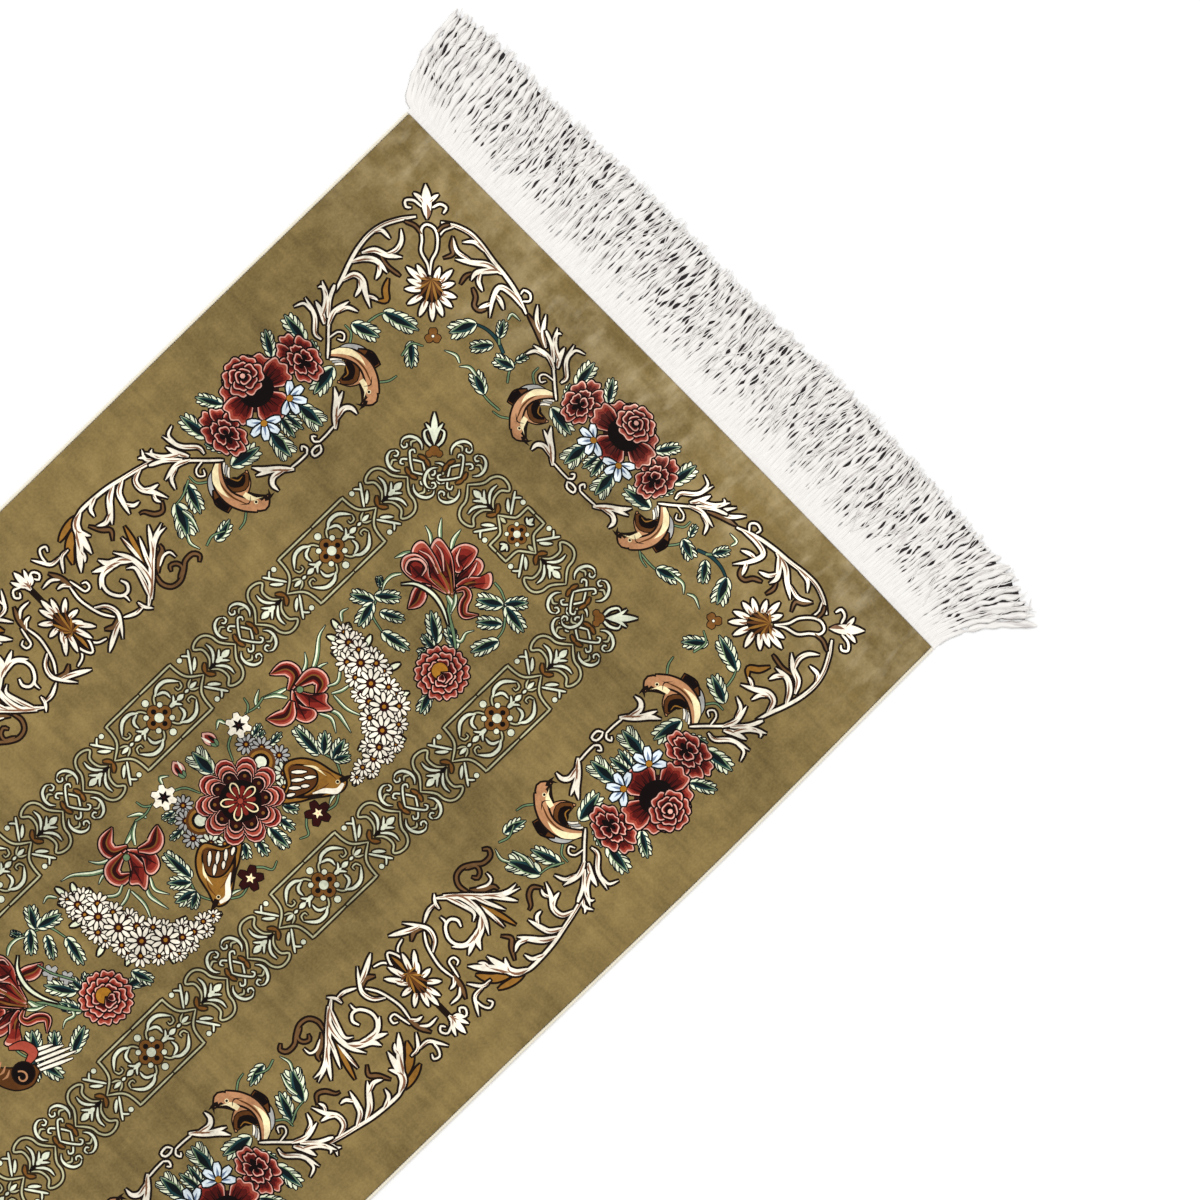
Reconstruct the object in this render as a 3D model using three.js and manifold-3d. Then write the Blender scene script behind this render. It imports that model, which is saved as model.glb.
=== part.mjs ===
// A silk runner rug lying flat on the floor, with a long white fringe at both ends.
//
// Millimetres, +Z up. X runs across the rug and Y along it, and the origin is the middle of
// its underside. The woven body with its pile is one flat slab. A whipped edge cord runs
// along each long side. At each end a narrow plain-woven strip carries the fringe, whose
// strands lie on the floor, comb-like, and fan out past the corners.

import * as THREE from 'three';
import { mergeVertices } from 'three/addons/utils/BufferGeometryUtils.js';
import Module from 'manifold-3d';

const wasm = await Module();
wasm.setup();

// Driving dimensions of the woven body.
const PILE_WIDTH = 750;
const PILE_LENGTH = 2410;
const PILE_THICKNESS = 4;
const PILE_EDGE_ROUNDING = 0.8;
const JOIN_GAP = 0.3;

// How the pile's ends bow out and run askew, as woven: a wave over the half width, in mm.
const END_BOW = { height: 1.1, turns: 2.6, start: 0.8, skew: -0.5 };

// The whipped cord along each long side, and its section as shares of half its width and of
// its height.
const SELVEDGE_WIDTH = 3.4;
const SELVEDGE_HEIGHT = 3.2;
const SELVEDGE_STEPS = 36;
const SELVEDGE_END_SHARE = 0.999;
const SELVEDGE_SECTION = [
  { across: 0.7, up: 0 },
  { across: 1, up: 0.45 },
  { across: 0.5, up: 1 },
];

// The plain-woven end strip and the fringe that grows out of it.
const STRIP_WIDTH = 10;
const STRIP_THICKNESS = 1.6;
const STRANDS = 120;
const STRAND_WIDTH = 4.4;
const STRAND_HEIGHT = 2;
const STRAND_SECTION = [
  { across: 1, up: 0 },
  { across: 0.55, up: 1 },
];
const STRAND_ROOT_DEPTH = 3;
const STRAND_STEPS = 4;
const STRAND_LEAN_POWER = 1.15;
const STRAND_WANDER = 0.5;
const STRAND_RAGGEDNESS = 2.2;

// The wave that combs neighbouring strands the same way: its size, and its turn in radians
// along a strand and over half the rug's width.
const COMBING = { size: 3.2, along: 4.2, across: 9 };

// How far each long side stands out past the straight side, at stations along the rug.
// The station is a share of half the length, from one end to the other.
const SIDE_UNEVENNESS = [
  { along: -1.0, left: 0.4, right: -0.6 },
  { along: -0.75, left: 1.1, right: 1.4 },
  { along: -0.5, left: -1.2, right: 0.8 },
  { along: -0.25, left: -0.6, right: -1.6 },
  { along: 0.0, left: 0.9, right: -2.2 },
  { along: 0.25, left: 1.5, right: -3.0 },
  { along: 0.5, left: 0.6, right: -1.2 },
  { along: 0.75, left: -0.4, right: 2.4 },
  { along: 1.0, left: -1.6, right: -0.8 },
];

// Reach of the fringe past the strip, and how far its tips lean sideways, at stations across
// the rug's end. The station is a share of half the width.
const FRINGE_SHAPE = [
  { across: -1.0, reach: 74, lean: -46 },
  { across: -0.94, reach: 92, lean: -29 },
  { across: -0.86, reach: 101, lean: -13 },
  { across: -0.7, reach: 103, lean: -3 },
  { across: -0.35, reach: 105, lean: 2 },
  { across: 0.0, reach: 107, lean: 3 },
  { across: 0.35, reach: 104, lean: 1 },
  { across: 0.7, reach: 103, lean: 3 },
  { across: 0.86, reach: 98, lean: 15 },
  { across: 0.94, reach: 88, lean: 36 },
  { across: 1.0, reach: 70, lean: 58 },
];

// Steps of the two kinds of edge on the slab's outline.
const SIDE_STEPS = 36;
const END_STEPS = 24;

/** Reads a column of a table as a smooth curve over the table's station column. */
function tableCurve(rows, station, column) {
  const points = rows.map((row) => new THREE.Vector2(row[station], row[column]));
  const spline = new THREE.SplineCurve(points);
  const last = rows.length - 1;
  return (at) => {
    const after = rows.findIndex((row) => row[station] > at);
    const index = after < 0 ? last - 1 : Math.max(after - 1, 0);
    const span = rows[index + 1][station] - rows[index][station];
    const share = THREE.MathUtils.clamp((at - rows[index][station]) / span, 0, 1);
    return spline.getPoint((index + share) / last).y;
  };
}

const leftBulge = tableCurve(SIDE_UNEVENNESS, 'along', 'left');
const rightBulge = tableCurve(SIDE_UNEVENNESS, 'along', 'right');
const fringeReach = tableCurve(FRINGE_SHAPE, 'across', 'reach');
const fringeLean = tableCurve(FRINGE_SHAPE, 'across', 'lean');

/** X of one long side of the pile at a share of half the length; side is -1 or 1. */
function pileSide(side, along) {
  const bulge = side < 0 ? leftBulge(along) : rightBulge(along);
  return side * (PILE_WIDTH / 2 + bulge);
}

/** Y of the pile's near end at a share of half the width. */
function pileEnd(across) {
  const bow = END_BOW.height * Math.sin(END_BOW.turns * across + END_BOW.start);
  return PILE_LENGTH / 2 + bow + END_BOW.skew * across;
}

/** Evenly spaced shares from -1 to 1, both ends included. */
function shares(steps) {
  return Array.from({ length: steps + 1 }, (_, i) => -1 + (2 * i) / steps);
}

/** A repeatable value between -1 and 1 that differs from strand to strand. */
function scatter(index, salt) {
  return 2 * THREE.MathUtils.seededRandom(index + salt * STRANDS) - 1;
}

/** The slab's outline, counter-clockwise from its near right corner. */
function pileOutline() {
  const half = PILE_LENGTH / 2;
  const cornerTrim = 1 / SIDE_STEPS;
  const sideShares = shares(SIDE_STEPS).map((share) => share * (1 - cornerTrim));
  const nearEnd = shares(END_STEPS).map((share) => {
    const x = THREE.MathUtils.lerp(pileSide(-1, 1), pileSide(1, 1), (share + 1) / 2);
    return new THREE.Vector2(x, pileEnd(share));
  });
  const farEnd = shares(END_STEPS).map((share) => {
    const x = THREE.MathUtils.lerp(pileSide(-1, -1), pileSide(1, -1), (share + 1) / 2);
    return new THREE.Vector2(x, -pileEnd(-share));
  });
  const left = sideShares.map((share) => new THREE.Vector2(pileSide(-1, share), share * half));
  const right = sideShares.map((share) => new THREE.Vector2(pileSide(1, share), share * half));
  return [...nearEnd.reverse(), ...left.reverse(), ...farEnd, ...right];
}

/** The woven body: foundation and pile as one flat slab with its edges rounded off. */
function pileGeometry() {
  const geometry = new THREE.ExtrudeGeometry(new THREE.Shape(pileOutline()), {
    depth: PILE_THICKNESS - 2 * PILE_EDGE_ROUNDING,
    bevelEnabled: true,
    bevelThickness: PILE_EDGE_ROUNDING,
    bevelSize: PILE_EDGE_ROUNDING,
    bevelOffset: -PILE_EDGE_ROUNDING,
    bevelSegments: 1,
  });
  return geometry.translate(0, 0, PILE_EDGE_ROUNDING);
}

/** A flat-bottomed section for a path that lies level: X points down and Y sideways. */
function lyingSection(rows, width, height) {
  const half = rows.map((row) => new THREE.Vector2(-row.up * height, (row.across * width) / 2));
  const other = half.map((point) => new THREE.Vector2(point.x, -point.y)).reverse();
  return new THREE.Shape([...half, ...other]);
}

/** A whipped edge cord along one long side, following the pile at the joining gap. */
function selvedgeGeometry(side) {
  const offset = side * (JOIN_GAP + SELVEDGE_WIDTH / 2);
  const points = shares(SELVEDGE_STEPS / 2).map((share) => {
    const along = share * SELVEDGE_END_SHARE;
    return new THREE.Vector3(pileSide(side, along) + offset, (along * PILE_LENGTH) / 2, 0);
  });
  const section = lyingSection(SELVEDGE_SECTION, SELVEDGE_WIDTH, SELVEDGE_HEIGHT);
  const extrudePath = new THREE.CatmullRomCurve3(points);
  return new THREE.ExtrudeGeometry(section, { steps: SELVEDGE_STEPS, extrudePath });
}

/** X on the near end of the rug, its edge cords included, at a share of half the width. */
function nearEndX(across) {
  const side = JOIN_GAP + SELVEDGE_WIDTH;
  return THREE.MathUtils.lerp(pileSide(-1, 1) - side, pileSide(1, 1) + side, (across + 1) / 2);
}

/** The plain-woven strip that holds the roots of the near fringe. */
function stripGeometry() {
  const edge = shares(END_STEPS).map(
    (share) => new THREE.Vector2(nearEndX(share), pileEnd(share) + JOIN_GAP),
  );
  const outer = edge.map((point) => new THREE.Vector2(point.x, point.y + STRIP_WIDTH));
  const shape = new THREE.Shape([...edge, ...outer.reverse()]);
  return new THREE.ExtrudeGeometry(shape, { depth: STRIP_THICKNESS, bevelEnabled: false });
}

/** One strand of the near fringe, from inside the strip to its tip on the floor. */
function strandGeometry(index) {
  const across = -1 + (2 * (index + 0.5)) / STRANDS;
  const rootX = nearEndX(across);
  const rootY = pileEnd(across) + JOIN_GAP + STRIP_WIDTH - STRAND_ROOT_DEPTH;
  const reach = fringeReach(across) + STRAND_ROOT_DEPTH + STRAND_RAGGEDNESS * scatter(index, 1);
  const lean = fringeLean(across);
  const points = Array.from({ length: STRAND_STEPS + 1 }, (_, step) => {
    const share = step / STRAND_STEPS;
    const phase = COMBING.along * share + COMBING.across * across;
    const sway = COMBING.size * share * Math.sin(phase);
    const wander = STRAND_WANDER * share * scatter(index, 2 + step);
    const x = rootX + lean * share ** STRAND_LEAN_POWER + sway + wander;
    return new THREE.Vector3(x, rootY + reach * share, 0);
  });
  const section = lyingSection(STRAND_SECTION, STRAND_WIDTH, STRAND_HEIGHT);
  const extrudePath = new THREE.CatmullRomCurve3(points);
  return new THREE.ExtrudeGeometry(section, { steps: STRAND_STEPS, extrudePath });
}

/** Turns a closed three.js geometry into a solid that can be joined. */
function toSolid(geometry) {
  const bare = geometry.clone();
  bare.deleteAttribute('normal');
  bare.deleteAttribute('uv');
  const merged = mergeVertices(bare, 1e-4);
  const mesh = new wasm.Mesh({
    numProp: 3,
    vertProperties: new Float32Array(merged.attributes.position.array),
    triVerts: new Uint32Array(merged.index.array),
  });
  return new wasm.Manifold(mesh);
}

/** Turns a joined solid back into a three.js geometry. */
function toGeometry(solid) {
  const mesh = solid.getMesh();
  const geometry = new THREE.BufferGeometry();
  geometry.setAttribute('position', new THREE.BufferAttribute(mesh.vertProperties, 3));
  geometry.setIndex(new THREE.BufferAttribute(mesh.triVerts, 1));
  geometry.computeVertexNormals();
  return geometry;
}

/** The near fringe: strip and strands joined into one body at the strands' roots. */
function fringeGeometry() {
  const strands = Array.from({ length: STRANDS }, (_, index) => toSolid(strandGeometry(index)));
  return toGeometry(strands.reduce((body, strand) => body.add(strand), toSolid(stripGeometry())));
}

const silkPile = new THREE.MeshStandardMaterial({ color: 0x8b7748, roughness: 0.55 });
const creamSilk = new THREE.MeshStandardMaterial({ color: 0xece3cd, roughness: 0.6 });
const whiteFringe = new THREE.MeshStandardMaterial({ color: 0xf4f0ea, roughness: 0.7 });

/** A named mesh of one sub-part. */
function piece(name, geometry, material) {
  const mesh = new THREE.Mesh(geometry, material);
  mesh.name = name;
  return mesh;
}

const rug = new THREE.Group();
rug.name = 'silk_runner_rug';
rug.add(piece('pile', pileGeometry(), silkPile));
rug.add(piece('selvedge_left', selvedgeGeometry(-1), creamSilk));
rug.add(piece('selvedge_right', selvedgeGeometry(1), creamSilk));

// Both ends carry the same fringe, the far one turned half round.
const fringe = fringeGeometry();
const nearFringe = piece('fringe_near', fringe, whiteFringe);
const farFringe = piece('fringe_far', fringe.clone(), whiteFringe);
farFringe.rotation.z = Math.PI;
rug.add(nearFringe, farFringe);

export default rug;
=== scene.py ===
"""A silk runner rug lying on a pale floor: patterned pile, whipped edges and netted fringes.

The pattern is drawn in millimetres on the rug, from the middle of its underside, with X across
and Y along it. Each motif is a drawing of closed yarn shapes that cover one another in order.
The pile is cut along their visible edges into one flat skin of coloured faces.
"""

from __future__ import annotations

import logging
import math
from dataclasses import dataclass, field
from enum import Enum
from typing import Callable, Iterable, Sequence

import bmesh
import bpy
import numpy as np
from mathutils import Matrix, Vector
from mathutils.geometry import delaunay_2d_cdt


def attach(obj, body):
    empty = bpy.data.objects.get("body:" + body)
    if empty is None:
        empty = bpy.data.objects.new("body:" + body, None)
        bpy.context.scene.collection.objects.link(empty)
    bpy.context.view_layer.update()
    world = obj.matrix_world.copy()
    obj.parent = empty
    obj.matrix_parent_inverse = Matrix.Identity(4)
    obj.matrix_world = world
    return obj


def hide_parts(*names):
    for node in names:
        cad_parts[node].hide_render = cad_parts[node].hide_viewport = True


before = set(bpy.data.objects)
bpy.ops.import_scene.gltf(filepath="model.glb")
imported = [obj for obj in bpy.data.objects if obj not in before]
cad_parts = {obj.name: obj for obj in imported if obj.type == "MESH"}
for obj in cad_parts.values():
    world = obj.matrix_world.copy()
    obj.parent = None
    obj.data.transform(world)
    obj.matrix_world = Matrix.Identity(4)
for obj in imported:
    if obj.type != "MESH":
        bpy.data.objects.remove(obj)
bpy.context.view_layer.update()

LOG = logging.getLogger("silk_runner")
MM = 0.001
NOTHING = 1e-9  # a length that keeps a division from failing
SHARPEST_BEND = 24  # degrees from point to point of an arc
SHARP = 0.9  # sum of the directions of two edges of a shape, below which they make a sharp tip
MAP_MARGIN = 0.005  # share of a map that stays free at its rim
FAR_OFF = 1e4  # mm, well past the rug

# Widths along a stroke, as shares of its full width.
STEM = (0.5, 1.0, 1.0, 1.0, 1.0, 1.0, 1.0, 1.0, 0.5)
FINGER = (0.35, 0.8, 1.0, 1.0, 0.9, 0.62, 0.0)
TONGUE = (0.3, 0.55, 0.85, 1.0, 1.0, 0.85, 0.5, 0.0)
LENS = (0.0, 0.6, 0.95, 1.0, 0.9, 0.55, 0.0)
RAY = (1, 0.9, 0.5, 0)

Points = np.ndarray
Spot = tuple[float, float]
Range = tuple[float, float]
Triple = tuple[float, float, float]
Knots = Sequence[Spot]


class Yarn(Enum):
    """The dyed silks of the pile, as sRGB shares of red, green and blue."""

    GROUND = (0.498, 0.420, 0.250)
    OUTLINE = (0.085, 0.035, 0.015)
    OLIVE = (0.155, 0.110, 0.045)
    CREAM = (0.940, 0.905, 0.830)
    MAUVE = (0.500, 0.345, 0.250)
    HUSK = (0.410, 0.290, 0.170)
    OCHRE = (0.560, 0.385, 0.140)
    BROWN = (0.350, 0.200, 0.070)
    BAND = (0.830, 0.845, 0.750)
    BAND_DIM = (0.690, 0.680, 0.540)
    ORANGE = (0.460, 0.295, 0.115)
    PINK = (0.860, 0.640, 0.580)
    CORAL = (0.620, 0.260, 0.195)
    ROSE = (0.480, 0.125, 0.092)
    CRIMSON = (0.310, 0.055, 0.042)
    WINE = (0.165, 0.020, 0.018)
    BLACK = (0.040, 0.004, 0.004)
    LEAF_RIM = (0.880, 0.900, 0.780)
    LEAF = (0.400, 0.500, 0.360)
    TEAL = (0.090, 0.215, 0.225)
    INK = (0.020, 0.060, 0.080)
    SKY = (0.870, 0.915, 0.940)
    BLUE = (0.420, 0.490, 0.600)
    GOLD = (0.640, 0.430, 0.110)
    TAN = (0.710, 0.505, 0.350)
    STRAW = (0.950, 0.880, 0.690)
    LILAC = (0.640, 0.635, 0.620)


def arc(start: Spot, heading: float, length: float, turn: float, tighten: float = 1.0,
        step: float = 2.2) -> Points:
    """Points of a curve that starts with a heading and turns as it goes.

    Args:
        start: First point, mm.
        heading: First direction, degrees from +X.
        length: Length of the curve, mm.
        turn: Whole turn along it, degrees, left positive.
        tighten: 1 for an even bend, more for a bend that tightens towards the end.
        step: Spacing of the points, mm; they also stand closer in a sharp bend.

    Returns:
        The points, one row each.
    """
    count = max(3, int(math.ceil(max(length / step, abs(turn) / SHARPEST_BEND)))) + 1
    share = np.linspace(0, 1, count)
    middles = (share[1:] + share[:-1]) / 2
    angles = np.radians(heading + turn * middles**tighten)
    moves = np.stack([np.cos(angles), np.sin(angles)], 1) * (length / (count - 1))
    return np.vstack([[start], np.array(start) + np.cumsum(moves, 0)])


def spline(knots: Knots, step: float = 3.0, closed: bool = False) -> Points:
    """A smooth curve through given knots.

    Args:
        knots: Points on the curve, mm.
        step: Rough spacing of the points, mm.
        closed: Whether the curve returns to its first knot.

    Returns:
        The points, the last knot included unless the curve is closed.
    """
    p = np.array(knots, float)
    if closed:
        p = np.vstack([p[-1], p, p[:2]])
    else:
        p = np.vstack([2 * p[0] - p[1], p, 2 * p[-1] - p[-2]])
    parts = []
    for a, b, c, d in zip(p, p[1:], p[2:], p[3:]):
        count = max(2, int(np.hypot(*(c - b)) / step) + 1)
        t = np.linspace(0, 1, count, endpoint=False)[:, None]
        tangent_b, tangent_c = (c - a) / 2, (d - b) / 2
        parts.append(
            b * (2 * t**3 - 3 * t**2 + 1) + c * (3 * t**2 - 2 * t**3)
            + tangent_b * (t**3 - 2 * t**2 + t) + tangent_c * (t**3 - t**2)
        )
    if not closed:
        parts.append(p[-2][None])
    return np.vstack(parts)


def along(path: Points) -> Points:
    """Share of a path's length at each of its points."""
    lengths = np.concatenate([[0], np.cumsum(np.hypot(*np.diff(path, axis=0).T))])
    return lengths / max(lengths[-1], NOTHING)


def normals(path: Points) -> Points:
    """Unit normals on a path's left side."""
    tangent = np.gradient(path, axis=0)
    tangent /= np.maximum(np.hypot(*tangent.T), NOTHING)[:, None]
    return np.stack([-tangent[:, 1], tangent[:, 0]], 1)


def tapered(path: Points, widths: Sequence[float], side: float = 0.0) -> Points:
    """The closed outline of a stroke.

    Args:
        path: The stroke's middle line.
        widths: Full widths in mm, spread evenly along it.
        side: How far the stroke is pushed to the left, as a share of its half width.

    Returns:
        The outline's points.
    """
    half = np.interp(along(path), np.linspace(0, 1, len(widths)), widths)[:, None] / 2
    out = normals(path) * half
    left, right = path + out * (1 + side), path - out * (1 - side)
    return np.vstack([left, right[::-1]])


def signed_area(shape: Points) -> float:
    """Area inside a closed shape, positive if it runs counter-clockwise."""
    x, y = shape.T
    return float(np.sum(x * np.roll(y, -1) - np.roll(x, -1) * y)) / 2


def grown(shape: Points, by: float) -> Points:
    """A closed shape moved outwards all round, with its sharp tips blunted."""
    before, after = np.roll(shape, 1, 0), np.roll(shape, -1, 0)
    first, second = shape - before, after - shape
    first /= np.maximum(np.hypot(*first.T), NOTHING)[:, None]
    second /= np.maximum(np.hypot(*second.T), NOTHING)[:, None]
    both = first + second
    reach = np.hypot(*both.T)
    out = np.stack([both[:, 1], -both[:, 0]], 1) / np.maximum(reach, SHARP)[:, None]
    tips = reach < SHARP
    out[tips] += 0.6 * (first - second)[tips]
    return shape + math.copysign(by, signed_area(shape)) * out


def disc(radius: float, at: Spot = (0, 0), sides: int = 0) -> Points:
    """A round dot."""
    sides = sides or max(7, min(20, int(radius * 2.2)))
    turn = np.linspace(0, 2 * math.pi, sides, endpoint=False)
    return np.stack([np.cos(turn), np.sin(turn)], 1) * radius + np.array(at)


def moved(shape: Points, x: float = 0, y: float = 0, turn: float = 0, size: float = 1,
          mirrored: bool = False) -> Points:
    """A shape scaled, mirrored in Y, turned in degrees and then moved."""
    p = shape * size
    if mirrored:
        p = p * (1, -1)
    c, s = math.cos(math.radians(turn)), math.sin(math.radians(turn))
    return p @ np.array([[c, s], [-s, c]]) + (x, y)


def blade(start: Spot, heading: float, length: float, turn: float, width: float,
          profile: Sequence[float] = FINGER) -> Points:
    """A curved finger of leaf: arc() with shares of a width along it."""
    return tapered(arc(start, heading, length, turn), [width * share for share in profile])


def midway(root: Spot, tip: Spot) -> Knots:
    """Knots of a straight stroke: its root, its middle and its tip."""
    dx, dy = tip[0] - root[0], tip[1] - root[1]
    return root, (root[0] + dx / 2, root[1] + dy / 2), tip


@dataclass
class Drawing:
    """Closed yarn shapes, each covering those before it."""

    shapes: list[tuple[Points, Yarn]] = field(default_factory=list)

    def fill(self, shape: Points, yarn: Yarn) -> None:
        """Adds one shape."""
        self.shapes.append((shape, yarn))

    def outlined(self, shapes: Sequence[tuple[Points, Yarn]], edge: Yarn, width: float) -> None:
        """Adds coloured shapes with one line about them all.

        Args:
            shapes: The shapes with their colours.
            edge: The line's colour.
            width: The line's width, mm.
        """
        self.shapes += [(grown(shape, width), edge) for shape, _ in shapes]
        self.shapes += shapes

    def edged(self, shapes: Iterable[Points], yarn: Yarn, edge: Yarn = Yarn.OUTLINE,
              width: float = 1.5) -> None:
        """Adds shapes of one colour as outlined() does."""
        self.outlined([(shape, yarn) for shape in shapes], edge, width)

    def brush(self, knots: Knots, widths: Sequence[float], yarn: Yarn, edge: Yarn | None = None,
              width: float = 1.5) -> None:
        """Adds a brush stroke through knots.

        Args:
            knots: Points that its middle line runs through.
            widths: Full widths in mm, spread evenly along it.
            yarn: Its colour.
            edge: Colour of a line about it; none if left out.
            width: The line's width, mm.
        """
        stroke = tapered(spline(knots), widths)
        if edge is None:
            self.fill(stroke, yarn)
        else:
            self.edged([stroke], yarn, edge, width)

    def dot(self, radius: float, at: Spot, yarn: Yarn, edge: Yarn, width: float,
            sides: int = 0) -> None:
        """Adds a round dot with a line about it."""
        self.edged([disc(radius, at, sides)], yarn, edge, width)

    def add(self, other: Drawing, x: float = 0, y: float = 0, turn: float = 0,
            size: float = 1, mirrored: bool = False) -> None:
        """Adds a drawing, placed as moved() places a shape."""
        for shape, yarn in other.shapes:
            self.fill(moved(shape, x, y, turn, size, mirrored), yarn)

    def gather(self, *others: Drawing) -> Drawing:
        """Adds drawings as they are, and returns this one."""
        for other in others:
            self.add(other)
        return self

    def mapped(self, place: Callable[[Points], Points]) -> Drawing:
        """The drawing with every point sent through a function."""
        return Drawing([(place(shape), yarn) for shape, yarn in self.shapes])

    def flipped(self, across: bool = False, along_rug: bool = False) -> Drawing:
        """The drawing mirrored in X, in Y or in both."""
        signs = (-1 if across else 1, -1 if along_rug else 1)
        return self.mapped(lambda p: p * signs)

    def mirrored_at(self, line_y: float) -> Drawing:
        """The drawing mirrored in a line across the rug."""
        return self.mapped(lambda p: p * (1, -1) + (0, 2 * line_y))


@dataclass(frozen=True)
class Stroke:
    """One drawn stroke of scrollwork.

    Attributes:
        yarn: Its colour, or none for the scrollwork's own.
        width: Its full width where it is widest, mm.
        knots: Points that its middle line runs through.
        profile: Width shares along it.
    """

    yarn: Yarn | None
    width: float
    knots: Knots
    profile: Sequence[float]

    def outline(self, slim: float) -> Points:
        """The stroke's closed outline, with its width scaled."""
        widths = [self.width * slim * share for share in self.profile]
        return tapered(spline(self.knots, 2.6), widths)


def finger(width: float, *knots: Spot, yarn: Yarn | None = None) -> Stroke:
    """A pointed finger of acanthus."""
    return Stroke(yarn, width, knots, FINGER)


def line(width: float, *knots: Spot, yarn: Yarn | None = None) -> Stroke:
    """A line of even width."""
    return Stroke(yarn, width, knots, STEM)


def lens(width: float, *knots: Spot, yarn: Yarn | None = None) -> Stroke:
    """A leaf that is pointed at both ends."""
    return Stroke(yarn, width, knots, LENS)


@dataclass(frozen=True)
class Scrollwork:
    """Acanthus arms with one dark line about them all, the cream ones shaded in their folds.

    Attributes:
        yarn: Colour of the strokes that have none of their own.
        line: Width of the dark line, mm.
        slim: Share of their drawn width that strokes are woven at.
        broad: Width past which a stroke has a fold, mm.
        shade: Width of the fold's shade as a share of the stroke's.
    """

    yarn: Yarn = Yarn.CREAM
    line: float = 2.3
    slim: float = 0.82
    broad: float = 3.4
    shade: float = 0.34

    def draw(self, *strokes: Stroke) -> Drawing:
        """Strokes that share one dark line, each covering those before it."""
        drawing = Drawing()
        outlines = [(stroke.outline(self.slim), stroke.yarn or self.yarn) for stroke in strokes]
        drawing.outlined(outlines, Yarn.OUTLINE, self.line)
        for stroke, (_, yarn) in zip(strokes, outlines):
            if stroke.width > self.broad and yarn is Yarn.CREAM:
                path = spline(stroke.knots, 4)
                path = path[: max(3, int(len(path) * 0.6))]
                widths = [0.0, stroke.width * self.shade, stroke.width * self.shade * 0.8, 0.0]
                drawing.fill(tapered(path, widths, -1.0), Yarn.MAUVE)
        return drawing


@dataclass(frozen=True)
class Foliage:
    """Toothed leaves of teal and green with pale combed rims, and their stems.

    Attributes:
        line: Width of the dark line about each tooth, mm.
        stem_line: The same about a stem, mm.
    """

    line: float = 1.3
    stem_line: float = 0.9

    def leaf(self, length: float, width: float = 0, turn: float = 0, teeth: int = 5) -> Drawing:
        """A leaf along +X from its stalk, bent by an angle.

        Args:
            length: Length, mm.
            width: Full width, mm; about half the length if left out.
            turn: Bend along the leaf, degrees.
            teeth: Teeth on each side.

        Returns:
            The drawing.
        """
        width = width or length * 0.56
        rib = arc((0, 0), -turn / 2, length, turn, step=length / 10)
        share = along(rib)
        shapes = []
        for side in (1, -1):
            for tooth in range(teeth):
                at = (tooth + 0.15) / (teeth + 0.9)
                index = int(np.argmin(abs(share - at)))
                belly = math.sin(math.pi * ((tooth + 1.1) / (teeth + 1.2)) ** 0.85)
                reach = width * 0.5 * (0.6 + 0.72 * belly)
                way = -turn / 2 + turn * at
                shapes.append(blade(tuple(rib[index]), way + side * 52, reach, -side * 26,
                                    length * 0.125, (0.8, 1.0, 0.9, 0.25)))
        shapes.append(blade(tuple(rib[len(rib) // 2]), turn * 0.1, length * 0.5, turn * 0.4,
                            width * 0.3, (0.9, 0.9, 0.7, 0.0)))
        drawing = Drawing()
        for shape in shapes:
            drawing.edged([shape], Yarn.LEAF_RIM, Yarn.INK, self.line)
        for yarn, push, widths in (
            (Yarn.LEAF, 0.0, (0.1, 0.38, 0.46, 0.36, 0.2, 0)),
            (Yarn.TEAL, 0.15, (0.1, 0.34, 0.4, 0.26, 0.1, 0)),
            (Yarn.INK, -0.3, (0, 0.2, 0.28, 0.18, 0, 0)),
        ):
            drawing.fill(tapered(rib, [width * share for share in widths], push), yarn)
        return drawing

    def leaves(self, *places: tuple) -> Drawing:
        """Toothed leaves.

        Args:
            *places: For each, its stalk, its tip, and then width, teeth and bend if it has them.

        Returns:
            The drawing.
        """
        drawing = Drawing()
        for stalk, tip, *rest in places:
            width, teeth, turn = (*rest, *(0, 5, 0)[len(rest):])
            dx, dy = tip[0] - stalk[0], tip[1] - stalk[1]
            leaf = self.leaf(math.hypot(dx, dy), width, turn, teeth)
            drawing.add(leaf, *stalk, turn=math.degrees(math.atan2(dy, dx)))
        return drawing

    def sprig(self, *knots: Spot, width: float = 1.5, yarn: Yarn = Yarn.LEAF) -> Drawing:
        """A thin stem through knots."""
        drawing = Drawing()
        drawing.brush(knots, (width, width, width * 0.6), yarn, Yarn.INK, self.stem_line)
        return drawing

    def grass(self, width: float, *knots: Spot) -> Drawing:
        """A long narrow leaf through knots, pale along one side."""
        drawing = Drawing()
        path = spline(knots)
        profile = [width * share for share in (0.5, 1, 0.95, 0.6, 0)]
        drawing.edged([tapered(path, profile)], Yarn.LEAF, Yarn.INK, self.stem_line)
        drawing.fill(tapered(path, [w * 0.45 for w in profile], 0.8), Yarn.LEAF_RIM)
        return drawing


def fan(radius: float, spread: float, lobes: int = 3, ruffle: float = 0.05) -> Points:
    """A petal about its base at the origin, opening along +X with a scalloped rim."""
    count = max(7, min(6 * lobes + 1, int(radius * math.radians(spread) / 1.6) + 3))
    share = np.linspace(-1, 1, count)
    wave = np.cos(lobes * math.pi * (share - (lobes - 1) / lobes))
    rim = radius * (1 - 0.24 * np.abs(share) ** 4) * (1 + ruffle * wave)
    angle = np.radians(spread / 2) * share
    edge = np.stack([rim * np.cos(angle), rim * np.sin(angle)], 1)
    return np.vstack([[(0, 0)], edge])


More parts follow.
